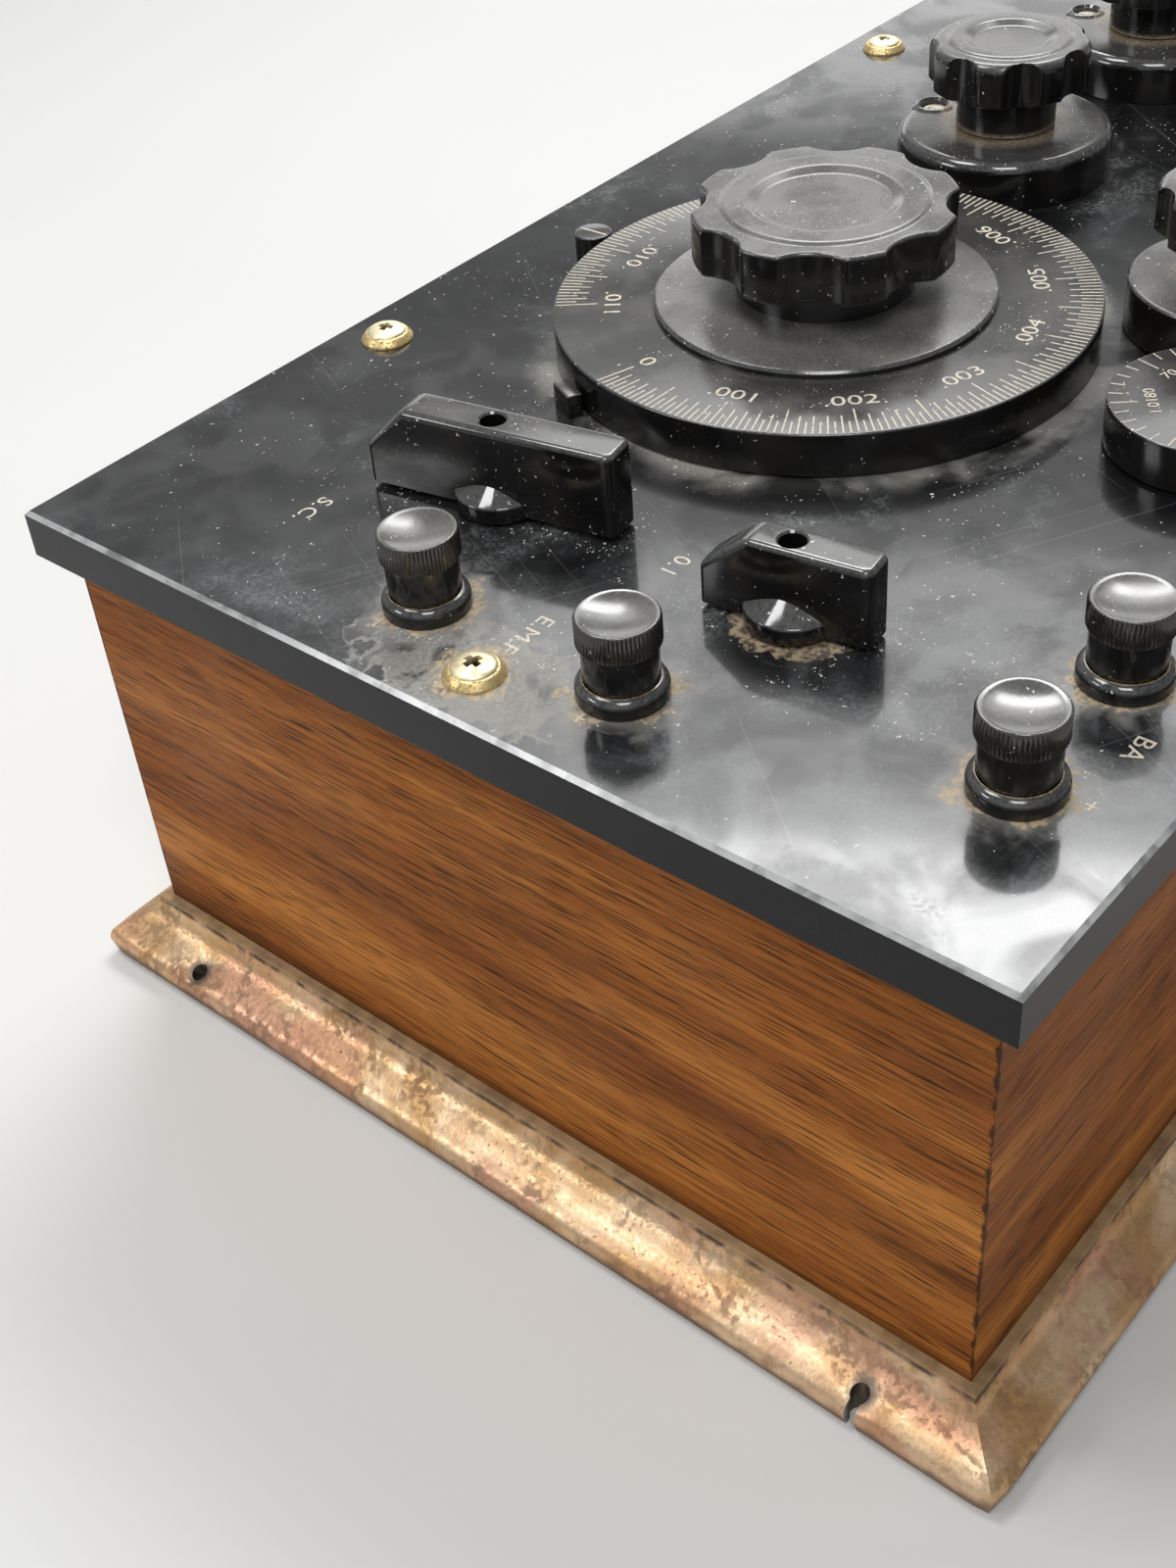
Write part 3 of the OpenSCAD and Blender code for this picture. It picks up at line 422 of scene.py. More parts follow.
def mahogany(name, turn):
    """Varnished planks whose grain lies along X, or along Y after a quarter turn."""
    material, shader, where = finish(name, Specular_IOR_Level=0.09)
    along = node(where, "Mapping", {"Vector": where, "Rotation": (0, 0, turn)}).outputs[0]
    wood = use(where, grain, Along=along)
    stains = fade(cloud(stretched(along, 18, 60, 60), 1, 4, 0.5), 0.64, 0.78, 0, 0.7)
    colour = blend(stains, wood["Colour"], PORE_AND_SHADE)
    folded = node(where, "SeparateXYZ", {0: mirrored(where)}).outputs
    to_corner = plus(times(plus(folded[0], folded[1]), -1), case_x + case_y)
    nicks = times(cloud(where, 300, 3), 3 * MM)
    joint = fade(plus(to_corner, nicks), 2.3 * MM, 1.5 * MM)
    # Painted shade: each wall is painted darker over its lowest 5 mm, where it meets the moulding.
    foot_shade = fade(folded[2], foot_h + 5 * MM, foot_h, 0, 0.55)
    colour = blend(most(times(joint, 0.85), foot_shade), colour, PORE_AND_SHADE)
    patchy = cloud(where, 30, 3)
    rough = plus(fade(patchy, 0.3, 0.7, 0.42, 0.6), times(stains, 0.2))
    drive(shader, Base_Color=colour, Roughness=rough)
    bumpy(shader, less(wood["Height"], joint), 0.3, 0.25 * MM)
    return material


dress(mahogany("mahogany_long", 0), "wall_front", "wall_back", "bottom_board")
dress(mahogany("mahogany_end", math.pi / 2), "wall_left", "wall_right")

# Works under the panel
# Turned brass shafts, bushes and contacts, a resistance wire round its drum, and wound resistors under
# varnish. They hang from the panel and are hidden once it is screwed down.
BRASS = (0.72, 0.53, 0.20, 1)
TARNISH = (0.22, 0.14, 0.05, 1)
WIRE = (0.55, 0.50, 0.44, 1)
WIRE_DARK = (0.25, 0.21, 0.17, 1)


def metal(name, bright, dark, rough):
    """Bare turned metal, clouded by tarnish."""
    material, shader, where = finish(name, Metallic=1)
    patches = cloud(where, 240, 5, 0.4)
    colour = blend(fade(patches, 0.42, 0.7), bright, dark)
    drive(shader, Base_Color=colour, Roughness=fade(patches, 0.35, 0.7, *rough))
    bumpy(shader, cloud(where, 1800, 2), 0.12, 0.1 * MM)
    return material


brass = metal("turned_brass", BRASS, TARNISH, rough=(0.25, 0.5))
for name in nodes:
    if name.endswith(("_shaft", "_bushes", "_wiper", "_brush", "_studs", "_contacts")):
        dress(brass, name)
dress(metal("resistance_wire", WIRE, WIRE_DARK, rough=(0.3, 0.45)), "slide_wire_wire")

WINDING = (0.20, 0.085, 0.035, 1)
WINDING_DARK = (0.05, 0.022, 0.012, 1)
winding, shader, where = finish("varnished_winding", Coat_Weight=0.4)
turns = node(where, "TexWave", {"Vector": where, "Scale": 700, "Distortion": 0.3}, bands_direction="Z")
turns = turns.outputs[1]
rough = fade(cloud(where, 200), 0.3, 0.7, 0.35, 0.6)
drive(shader, Base_Color=blend(turns, WINDING_DARK, WINDING), Roughness=rough)
bumpy(shader, turns, 0.5, 0.3 * MM)
dress(winding, "standard_cell_resistor", "rheostat_bodies")

# Panel
# A sheet of polished black hard rubber with chamfered top edges, screwed down on the walls. Age has clouded
# its gloss, and dust, scratches and a dull film lie on it, thickest by the end screw, posts and bars.
panel_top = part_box("panel")[1].z
film_size = (15 * MM, 30 * MM)
screw_ring = (8.5 * MM, 8.5 * MM)
post_ring = (10.2 * MM, 10.2 * MM)
boss_ring = (11 * MM, 11 * MM)
range_dust = (26 * MM, 34 * MM)
selector_dust = (26 * MM, 44 * MM)
swept_r = 62 * MM
swept_w = 9 * MM
HARD_RUBBER = (0.0065, 0.0068, 0.0074, 1)
BLOOM = (0.075, 0.077, 0.079, 1)
FILM = (0.34, 0.33, 0.30, 1)
DUST = (0.62, 0.60, 0.56, 1)
TAN_GRIME = (0.45, 0.35, 0.23, 1)
EDGE_HIGHLIGHT_GREY = (0.42, 0.43, 0.43, 1)
HAZE_AND_SHEEN_GREY = (0.23, 0.235, 0.24, 1)

specks, given, made = effect("dust_specks", {"Amount": "Float"}, {"Mask": "Float"})
where = node(specks, "TexCoord").outputs["Object"]
layers = []
shake = node(specks, "TexNoise", {"Vector": where, "Scale": 1500, "Detail": 0}).outputs["Color"]
shaken = node(specks, "VectorMath", {0: shake, 1: (1.2 * MM,) * 3, 2: where}, operation="MULTIPLY_ADD")
drifts = fade(cloud(where, 60, 4), 0.42, 0.68, 0.1, 2.0)
for scale, smallest, largest, share in ((520, 0.05, 0.16, 0.16), (1300, 0.1, 0.3, 1)):
    cells = node(specks, "TexVoronoi", {"Vector": shaken.outputs[0], "Scale": scale})
    lot = node(specks, "SeparateColor", {0: cells.outputs["Color"]}).outputs
    chosen = calc("LESS_THAN", lot[0], times(given["Amount"], share, drifts))
    size = fade(lot[1], 0.5, 1.0, smallest, largest)
    inside = calc("LESS_THAN", cells.outputs["Distance"], size)
    layers.append(times(chosen, inside))
specks.links.new(most(*layers), made["Mask"])

haze, given, made = effect("cloudy_bloom", {"Scale": "Float"}, {"Mask": "Float", "Streaks": "Float"})
where = node(haze, "TexCoord").outputs["Object"]
broad = cloud(where, given["Scale"], 5, 0.8)
haze.links.new(fade(broad, 0.48, 0.72), made["Mask"])
streaks = []
for turn, seed in ((0.5, 0.0), (-0.9, 3.0), (2.0, 7.0)):
    laid = node(haze, "Mapping", {"Vector": where, "Rotation": (0, 0, turn), "Location": (seed, 0, 0)})
    hair = cloud(stretched(laid.outputs[0], 9, 1300, 1), 1, 0)
    streaks.append(fade(hair, 0.8, 0.83))
haze.links.new(most(*streaks), made["Streaks"])

axes = {joint["child"]: Vector(joint["pos_m"]) for joint in frame["joints"] if "pos_m" in joint}
post_places = {name[:-4]: sum(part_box(name), Vector()) / 2 for name in nodes if name.endswith("_cap")}
screw_low, screw_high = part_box("panel_screws")
screw_head_r = 4.6 * MM
end_screw = Vector((screw_high.x - screw_head_r, -1.6 * MM))

rubber, shader, where = finish("polished_hard_rubber", Specular_IOR_Level=0.22, Coat_Roughness=0.08)
folded = node(where, "SeparateXYZ", {0: where}).outputs
to_end = node(where, "Math", {0: folded[0]}, operation="ABSOLUTE").outputs[0]
ahead = plus(folded[0], times(folded[1], 0.5))
folded = node(where, "CombineXYZ", {0: to_end, 1: folded[1]}).outputs[0]
facing = node(where, "SeparateXYZ", {0: node(where, "NewGeometry").outputs["Normal"]}).outputs[2]
on_top = fade(facing, 0.9, 0.99)
wander = cloud(where, 160, 4, 0.5)
ragged = times(less(wander, 0.5), 1.5)
clouds = use(where, haze, Scale=26.0)
gritty = fade(cloud(where, 1000, 3), 0.36, 0.64, 0.3, 1.25)
bloom = times(clouds["Mask"], fade(wander, 0.36, 0.64, 0.15, 0.9), gritty)
colour = blend(bloom, HARD_RUBBER, BLOOM)
# Haze and painted sheen: the top face gets a blue-grey haze that grows towards the near end, standing in for the
# glare there.
haze_and_sheen = fade(cloud(where, 60, 7, 0.6), 0.38, 0.62, 0.15, 1)
haze_and_sheen = times(haze_and_sheen, fade(ahead, 0.1, 0.25, 0, 0.4), fade(gritty, 0.3, 1.25, 0.75, 1.1), on_top)
colour = blend(haze_and_sheen, colour, HAZE_AND_SHEEN_GREY)
film_reach = plus(away_from(where, end_screw, film_size), ragged)
film = times(
    fade(film_reach, 1.0, 0.95), fade(wander, 0.36, 0.52, 0.1, 0.7),
    fade(gritty, 0.3, 1.25, 0.85, 1.1))
tan = fade(plus(away_from(folded, end_screw, screw_ring), ragged), 1.05, 0.85)
for post in ("emf_plus", "emf_minus", "battery_plus", "battery_minus"):
    to_post = plus(away_from(folded, post_places[post], post_ring), ragged)
    tan = most(tan, fade(to_post, 1.06, 0.94))
    film = most(film, fade(to_post, 1.5, 1.0, 0, 0.4))
to_boss = plus(away_from(where, axes["range"], boss_ring), ragged)
tan = most(tan, fade(to_boss, 1.06, 0.94, 0, 0.8))
tan = times(tan, fade(cloud(where, 700, 2), 0.36, 0.6, 0.2, 0.95), on_top)
from_dial = plus(away_from(where, axes["slide_wire"], (1, 1)), times(ragged, 4 * MM))
swept = fade(cloud(where, 45, 5, 0.6), 0.4, 0.6, 0.06, 0.8)
swept = times(swept, fade(from_dial, swept_r + swept_w, swept_r))
film = times(most(film, swept), on_top)
colour = blend(film, colour, FILM)
colour = blend(tan, colour, TAN_GRIME)
by_range = away_from(where, axes["range"], range_dust)
by_bars = calc("MINIMUM", by_range, away_from(where, axes["selector"], selector_dust))
thick = most(fade(by_bars, 1, 0.4), film)
dusty = times(use(where, specks, Amount=fade(thick, 0, 1, 0.14, 0.9))["Mask"], on_top)
colour = blend(dusty, colour, DUST)
colour = blend(times(clouds["Streaks"], 0.06), colour, DUST)
colour = blend(fade(facing, 0.3, 0.1, 0, 0.95), colour, HARD_RUBBER)
# Painted highlight: the chamfered top edges are painted light grey.
chamfer_highlight = times(fade(facing, 0.4, 0.65), fade(facing, 0.95, 0.8))
colour = blend(times(chamfer_highlight, fade(wander, 0.3, 0.6, 0.4, 1)), colour, EDGE_HIGHLIGHT_GREY)
smeared = fade(cloud(where, 48, 6, 0.7), 0.38, 0.62, 0.9, 0.35)
clear = calc("MINIMUM", fade(bloom, 0, 0.8, 0.9, 0.5), smeared)
clear = less(clear, most(film, tan))
clear = less(times(clear, fade(facing, 0.2, 0.7)), dusty)
clear = node(where, "Clamp", {0: clear}).outputs[0]
filmy = fade(most(film, haze_and_sheen), 0, 0.8, 0, 0.3)
rough = plus(fade(bloom, 0, 0.8, 0.2, 0.36), filmy, times(tan, 0.3))
drive(shader, Base_Color=colour, Coat_Weight=clear, Roughness=rough)
scratched = less(cloud(where, 60, 1), times(clouds["Streaks"], 0.02))
bumpy(shader, scratched, 0.1, 0.5 * MM)
dress(rubber, "panel", "slide_wire_drum", "decade_stud_plates", "switch_decks")

INK = (0.60, 0.54, 0.43, 1)
INK_WORN = (0.20, 0.18, 0.14, 1)
CAPITAL_SHARE = 0.729
ink_h = 0.04 * MM


def letters(bm, words, tall, wide, place, spacing=1.0):
    """Adds flat letters whose middle is moved from the origin by a matrix."""
    curve = bpy.data.curves.new("words", "FONT")
    curve.body = words
    curve.align_x = "CENTER"
    curve.size = tall / CAPITAL_SHARE
    curve.extrude = ink_h
    curve.space_character = spacing
    curve.resolution_u = 4
    holder = bpy.data.objects.new("words", curve)
    mesh = bpy.data.meshes.new_from_object(holder)
    bpy.data.objects.remove(holder)
    mesh.transform(place @ Matrix.Diagonal((wide, 1, 1, 1)) @ Matrix.Translation((0, -tall / 2, 0)))
    bm.from_mesh(mesh)


ink, shader, where = finish("cream_filling", Roughness=0.55)
worn = fade(cloud(where, 900, 4), 0.5, 0.72, 0, 0.8)
drive(shader, Base_Color=blend(worn, INK, INK_WORN))
LABEL_WIDE = 1.1
LABEL_SPACING = 1.05
label_h = 3.8 * MM
bm = bmesh.new()
for words, x, y in (
    ("+", 189.5, 22.8), ("–", 189.1, -27.8), ("+", 159.2, 107.5), ("BA", 141.8, 106.7),
    ("E.M.F.", 176.5, -1.5), ("S.C.", 167.8, -68.3), ("0.1", 142.3, 7.5),
):
    place = Matrix.Translation((x * MM, y * MM, panel_top))
    letters(bm, words, label_h, LABEL_WIDE, place, LABEL_SPACING)
piece("panel_labels", bm, ink, "case", "black_rubber")

# Panel screws and cup washers
# Six brass wood screws with oval heads and a cross recess, each drawn down into a pressed cup washer. They
# hold the panel to the walls. Each recess is painted near black, as painted shade with packed dirt,
# and dust has packed round the cups.
panel_screw_x = 105 * MM
panel_screw_y = screw_high.y - screw_head_r
screw_places = [(x, y) for x in (-panel_screw_x, panel_screw_x) for y in (-panel_screw_y, panel_screw_y)]
screw_places += [(-end_screw.x, end_screw.y), (end_screw.x, end_screw.y)]
SCREW_TURN = 0.9
OVAL_STEPS = 10
screw_r = 2.1 * MM
cup_r = 6.15 * MM
cup_gap = 0.2 * MM
cup_brim = 0.8 * MM
cup_edge = 0.35 * MM
crisp_edge = 0.2 * MM
cup_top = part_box("panel_screw_cups")[1].z
dome = screw_high.z - cup_top
recess_size = (5.8 * MM, 1.5 * MM, 3.2 * MM)
RECESS_TAPER = 0.35
shank_top = panel_top + 0.1 * MM
dirt_and_shade_depth = 0.15 * MM
BRASS_PALE = (0.90, 0.80, 0.54, 1)
CUP_BRASS = (0.80, 0.62, 0.30, 1)
CUP_SPOT = (0.30, 0.19, 0.07, 1)


def turned(corners, steps, arcs=4, closed=False):
    """Spins a rounded line of (radius, height) corners about the Z axis. A closed line makes a ring."""
    bm = bmesh.new()
    line = [bm.verts.new((out, 0, up)) for out, up in rounded_line(corners, arcs)]
    onward = line[1:] + line[:1] if closed else line[1:]
    edges = [bm.edges.new(pair) for pair in zip(line, onward)]
    bmesh.ops.spin(
        bm, geom=line + edges, cent=(0, 0, 0), axis=(0, 0, 1), angle=math.tau, steps=steps, use_merge=True)
    bmesh.ops.remove_doubles(bm, verts=bm.verts, dist=WELD)
    return bm


def repeated(bm, places, turn):
    """Moves copies of what was made at the origin to each place, each turned on from the last."""
    master = whole(bm)
    for k, (x, y) in enumerate(places):
        copy = bmesh.ops.duplicate(bm, geom=master)["geom"]
        move = Matrix.Translation((x, y, 0)) @ Matrix.Rotation(k * turn, 4, "Z")
        bmesh.ops.transform(bm, matrix=move, verts=corners_of(copy))
    bmesh.ops.delete(bm, geom=corners_of(master), context="VERTS")


shank = [(0, screw_low.z), (screw_r, screw_low.z), (screw_r, panel_top)]
oval = [k * math.pi / 2 / OVAL_STEPS for k in range(OVAL_STEPS)]
oval = [(screw_head_r * math.cos(angle), cup_top + dome * math.sin(angle)) for angle in oval]
bm = turned(shank + oval + [(0, screw_high.z)], steps=48)
for turn in (0, math.pi / 2):
    blade = bmesh.new()
    bmesh.ops.create_cube(blade, size=1)
    for vert in blade.verts:
        if vert.co.z < 0:
            vert.co.x *= RECESS_TAPER
    bmesh.ops.transform(blade, verts=blade.verts, matrix=Matrix.LocRotScale(
        (0, 0, screw_high.z), Matrix.Rotation(turn, 3, "Z"), recess_size))
    bm = worked(bm, blade)
# Painted shade with packed dirt: points sunk below the head's dome, inside the cross recess, are marked.
grime_and_recess_shade = bm.verts.layers.float.new("grime_and_recess_shade")
for vert in bm.verts:
    share = min(1, vert.co.xy.length / screw_head_r)
    sunk = cup_top + dome * math.sqrt(1 - share ** 2) - vert.co.z
    vert[grime_and_recess_shade] = (vert.co.z > shank_top) * (share < 0.9) * min(1, max(0, sunk / dirt_and_shade_depth))
repeated(bm, screw_places, SCREW_TURN)
screw_brass, shader, where = finish("screw_brass", Metallic=0.85)
patches = cloud(where, 420, 4, 0.4)
packed_dirt_and_shade = node(where, "Attribute", attribute_name="grime_and_recess_shade").outputs["Fac"]
colour = blend(fade(patches, 0.5, 0.75, 0, 0.6), BRASS_PALE, TARNISH)
# The marked recess is painted near black, as painted shade with packed dirt.
colour = blend(packed_dirt_and_shade, colour, SHADE_AND_GRIME)
drive(shader, Base_Color=colour, Roughness=fade(patches, 0.35, 0.7, 0.4, 0.55))
bumpy(shader, cloud(where, 1500, 2), 0.15, 0.1 * MM)
piece("screws", bm, screw_brass, "case", "brass", "panel_screws")

bm = turned([
    (screw_r + cup_gap, panel_top), (cup_r, panel_top), (cup_r, panel_top + cup_brim / 2, crisp_edge),
    (screw_head_r + cup_brim / 2, cup_top, cup_edge), (screw_head_r, cup_top),
], steps=64, closed=True)
repeated(bm, screw_places, 0)
cup_brass, shader, where = finish("cup_brass")
spots = fade(cloud(where, 1400, 2), 0.5, 0.62, 0, 0.75)
drive(
    shader, Base_Color=blend(spots, CUP_BRASS, CUP_SPOT),
    Metallic=fade(spots, 0, 1, 0.8, 0.5), Roughness=fade(spots, 0, 1, 0.42, 0.65))
bumpy(shader, spots, 0.3, -0.1 * MM)
piece("cups", bm, cup_brass, "case", "brass", "panel_screw_cups")

# Slide-wire dial
# A moulded cup dial with a cream scale, a thin skirt and a large scalloped knob, all on one shaft that
# carries the wiper along the wire. An index post with a white line and a stop block stand at its rim.


def half_width(name):
    low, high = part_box(name)
    return (high.x - low.x) / 2


def heights(name):
    return [end.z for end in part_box(name)]


def axle_end(name):
    return heights(name + "_shaft")[1] + slip


slip = 0.03 * MM
foot_edge = 0.3 * MM
rim_edge = 0.4 * MM
soft_edge = 0.5 * MM
wire_axis = axes["slide_wire"]
dial_r = half_width("slide_wire_dial")
dial_low, dial_top = heights("slide_wire_dial")
dial_face = 4 * MM
dial_rim = 5 * MM
skirt_r = half_width("slide_wire_skirt")
skirt_top = heights("slide_wire_skirt")[1]
skirt_bevel = 0.7 * MM
skirt_edge = 0.15 * MM
skirt_rise = 1.5 * MM
axle_r = half_width("slide_wire_shaft") + slip
axle_top = axle_end("slide_wire")
neck_r = 20 * MM
MOULDED_BLACK = (0.0065, 0.0063, 0.006, 1)
BROWN_BLACK = (0.018, 0.013, 0.008, 1)
DUST_AND_SHEEN_GREY = (0.36, 0.35, 0.325, 1)


def moulded(name, dust_and_sheen, specked, rough):
    """Dulled black moulding: dust and a painted sheen lie on what faces up, sloping edges get grey wear and a
    painted highlight, specks lie anywhere and grime where it is marked.
    """
    material, shader, where = finish(name, Specular_IOR_Level=0.75)
    patchy = cloud(where, 75, 6, 0.3)
    fine = cloud(where, 1300, 2)
    upright = node(where, "SeparateXYZ", {0: node(where, "NewGeometry").outputs["Normal"]}).outputs[2]
    uneven = plus(fade(patchy, 0.3, 0.7, -0.15, 0.15), fade(fine, 0.3, 0.7, -0.15, 0.15), 1)
    # Dust and painted sheen: faces turned up are painted lighter grey, as settled dust and as a sheen of the light
    # above.
    settled_dust_and_sheen = times(fade(upright, 0.7, 0.99), uneven, dust_and_sheen)
    settled_dust_and_sheen = node(where, "Clamp", {0: settled_dust_and_sheen}).outputs[0]
    colour = blend(fade(patchy, 0.45, 0.75, 0, 0.5), MOULDED_BLACK, BROWN_BLACK)
    colour = blend(settled_dust_and_sheen, colour, DUST_AND_SHEEN_GREY)
    # Wear and painted highlight: sloping faces and rounded edges are painted lighter grey.
    rubbed_and_highlit = times(fade(upright, 0.25, 0.55), fade(upright, 0.96, 0.8, 0, 0.16))
    colour = blend(times(rubbed_and_highlit, fade(fine, 0.3, 0.6, 0.4, 1)), colour, EDGE_HIGHLIGHT_GREY)
    marked = node(where, "Attribute", attribute_name="grime_and_recess_shade").outputs["Fac"]
    marked = times(marked, fade(fine, 0.3, 0.6, 0.35, 1))
    colour = blend(marked, colour, TAN_GRIME)
    amount = fade(upright, -0.2, 0.7, 0.3 * specked, specked)
    spots = use(where, specks, Amount=amount)["Mask"]
    colour = blend(spots, colour, DUST)
    dull = times(most(spots, marked, settled_dust_and_sheen), 0.25)
    rough = plus(fade(patchy, 0.3, 0.7, *rough), dull)
    drive(shader, Base_Color=colour, Roughness=rough)
    bumpy(shader, fine, 0.12, 0.05 * MM)
    return material


dial_black = moulded("dial_black", dust_and_sheen=0.1, specked=0.2, rough=(0.1, 0.2))
skirt_black = moulded("skirt_black", dust_and_sheen=0.34, specked=0.25, rough=(0.12, 0.22))
knob_black = moulded("knob_black", dust_and_sheen=0.32, specked=0.3, rough=(0.12, 0.24))


def cup_corners(r, low, top, bore, edge):
    """The section of a dial like an upturned cup, from the bore's foot out to its top edge."""
    inner = r - dial_rim
    roof = top - dial_face
    return [(bore, roof), (inner, roof), (inner, low), (r, low, foot_edge), (r, top, edge)]


def stood(bm, axis, turn=0):
    """Turns a piece made on the Z axis and moves it to its own."""
    place = Matrix.Translation((axis.x, axis.y, 0)) @ Matrix.Rotation(turn, 4, "Z")
    bmesh.ops.transform(bm, matrix=place, verts=bm.verts)
    return bm


section = cup_corners(dial_r, dial_low, dial_top, axle_r, soft_edge) + [(axle_r, dial_top)]
bm = turned(section, steps=192, arcs=5, closed=True)
piece("dial", stood(bm, wire_axis), dial_black, "slide_wire", "black_rubber", "slide_wire_dial")

bm = turned([
    (axle_r, dial_top), (skirt_r, dial_top), (skirt_r, skirt_top - skirt_bevel, skirt_edge),
    (skirt_r - skirt_bevel, skirt_top, crisp_edge), (neck_r, skirt_top + skirt_rise), (axle_r, skirt_top),
], steps=160, arcs=3, closed=True)
piece("skirt", stood(bm, wire_axis), skirt_black, "slide_wire", "bakelite", "slide_wire_skirt")

FLUTES = 8
FLUTE_SHARE = 0.37
FLUTE_DEPTH = 0.11
RING_SHARE = 0.79
RECESS_SHARE = 0.575
ring_rise = 0.6 * MM
recess_depth = 1.2 * MM
neck_step = 1.2 * MM
head_edge = 1 * MM
grime_ring = 1 * MM


def fluted_knob(base, r, top, head_h, fillet, neck_r, turn, follow):
    """A turned head on a neck, its rim cut by upright flutes, with a raised ring and a recess on its top.
    The top edge's rounding follows the flutes, or else the flutes cut through it."""
    foot = base[-1][1]
    band = top - ring_rise
    head_low = top - head_h
    ring_r = RING_SHARE * r
    recess_r = RECESS_SHARE * r
    bm = turned(base + [
        (neck_r, foot + neck_step), (neck_r, head_low), (r, head_low, head_edge), (r, band, fillet),
        (ring_r, band, rim_edge), (ring_r - 2 * ring_rise, top, soft_edge), (recess_r, top, soft_edge),
        (recess_r - 2 * recess_depth, top - recess_depth, soft_edge), (0, top - recess_depth),
    ], steps=240, arcs=12)
    grime_and_recess_shade = bm.verts.layers.float.new("grime_and_recess_shade")
    cutter_r = FLUTE_SHARE * r
    cutter_at = r + cutter_r - FLUTE_DEPTH * r
    pitch = math.tau / FLUTES
    for vert in bm.verts:
        out = vert.co.xy.length
        if vert.co.z < head_low - slip:
            vert[grime_and_recess_shade] = 0.8 * (vert.co.z < foot + slip) * (out < neck_r + grime_ring)
            continue
        off = (math.atan2(vert.co.y, vert.co.x) - turn + pitch / 2) % pitch - pitch / 2
        under = cutter_r ** 2 - (cutter_at * math.sin(off)) ** 2
        cut = max(0, r - cutter_at * math.cos(off) + math.sqrt(under)) if under > 0 else 0
        if follow and out > ring_r:
            vert.co.xy *= 1 - cut * min(1, (out - ring_r) / (r - fillet - ring_r)) / out
        elif out > r - cut:
            vert.co.xy *= (r - cut) / out
    return bm


knob_r = 29.6 * MM
knob_top = heights("slide_wire_knob")[1]
knob_head_h = 12 * MM
knob_fillet = 0.9 * MM
KNOB_TURN = math.radians(-61)
base = [(0, axle_top), (axle_r, axle_top), (axle_r, skirt_top), (neck_r, skirt_top)]
bm = fluted_knob(base, knob_r, knob_top, knob_head_h, knob_fillet, neck_r, KNOB_TURN, follow=True)
piece("wire_knob", stood(bm, wire_axis), knob_black, "slide_wire", "bakelite", "slide_wire_knob")

ZERO_AT = -17.65
DIVISION = 1.4745
DIVISIONS = 220
NUMBER_WIDE = 1.3
tick_w = 0.36 * MM
tick_inset = 0.5 * MM
tenth_tick = 51.5 * MM
even_tick = 54 * MM
odd_tick = 56.4 * MM
number_r = 47.8 * MM
number_h = 3.9 * MM


def spoke(axis, top, degrees):
    """The place of what lies along a dial's radius at an angle."""
    return Matrix.Translation((axis.x, axis.y, top)) @ Matrix.Rotation(math.radians(degrees), 4, "Z")


def tick(bm, radius, outer, inner, width):
    """Adds a scale line along a dial's radius."""
    size = (outer - inner, width, 2 * ink_h)
    bmesh.ops.create_cube(bm, matrix=radius @ Matrix.LocRotScale(((outer + inner) / 2, 0, 0), None, size))


def written(bm, words, tall, wide, radius, out, turn):
    """Adds a number on a dial's radius, turned from reading along it."""
    letters(bm, words, tall, wide, radius @ Matrix.Translation((out, 0, 0)) @ Matrix.Rotation(turn, 4, "Z"))


bm = bmesh.new()
for k in range(DIVISIONS + 1):
    inner = tenth_tick if k % 10 == 0 else even_tick if k % 2 == 0 else odd_tick
    tick(bm, spoke(wire_axis, dial_top, ZERO_AT + k * DIVISION), dial_r - tick_inset, inner, tick_w)
for k in range(0, DIVISIONS + 1, 20):
    words = "." + str(k // 20).zfill(3) if k else "0"
    radius = spoke(wire_axis, dial_top, ZERO_AT + k * DIVISION)
    written(bm, words, number_h, NUMBER_WIDE, radius, number_r, math.pi / 2)
piece("dial_scale", bm, ink, "slide_wire", "ivory")

index_low, index_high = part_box("slide_wire_index")
index_at = (index_low + index_high) / 2
index_r = half_width("slide_wire_index")
index_line_w = 0.5 * MM
spigot_r = 2 * MM
bm = turned([
    (0, index_low.z), (spigot_r, index_low.z), (spigot_r, panel_top), (index_r, panel_top),
    (index_r, index_high.z, rim_edge), (0, index_high.z),
], steps=64)
piece("index_post", stood(bm, index_at), dial_black, "case", "bakelite", "slide_wire_index")
bm = bmesh.new()
to_dial = math.degrees(math.atan2(wire_axis.y - index_at.y, wire_axis.x - index_at.x))
reach = index_r - tick_inset
tick(bm, spoke(index_at, index_high.z, to_dial), reach, -reach, index_line_w)
piece("index_line", bm, ink, "case", "ivory")

stop_low, stop_top = heights("slide_wire_stop")
STOP_TURN = math.radians(-26)
stop_gap = 0.6 * MM
stop_w = 3.6 * MM
stop_l = 8 * MM
stop_at = (dial_r + stop_gap + stop_w / 2, 0, (stop_low + stop_top) / 2)
bm = bmesh.new()
bmesh.ops.create_cube(bm, matrix=Matrix.LocRotScale(stop_at, None, (stop_w, stop_l, stop_top - stop_low)))
bmesh.ops.bevel(bm, geom=bm.edges, offset=rim_edge, segments=3, profile=0.5, affect="EDGES", material=-1)
piece("stop_block", stood(bm, wire_axis, STOP_TURN), dial_black, "case", "black_rubber", "slide_wire_stop")

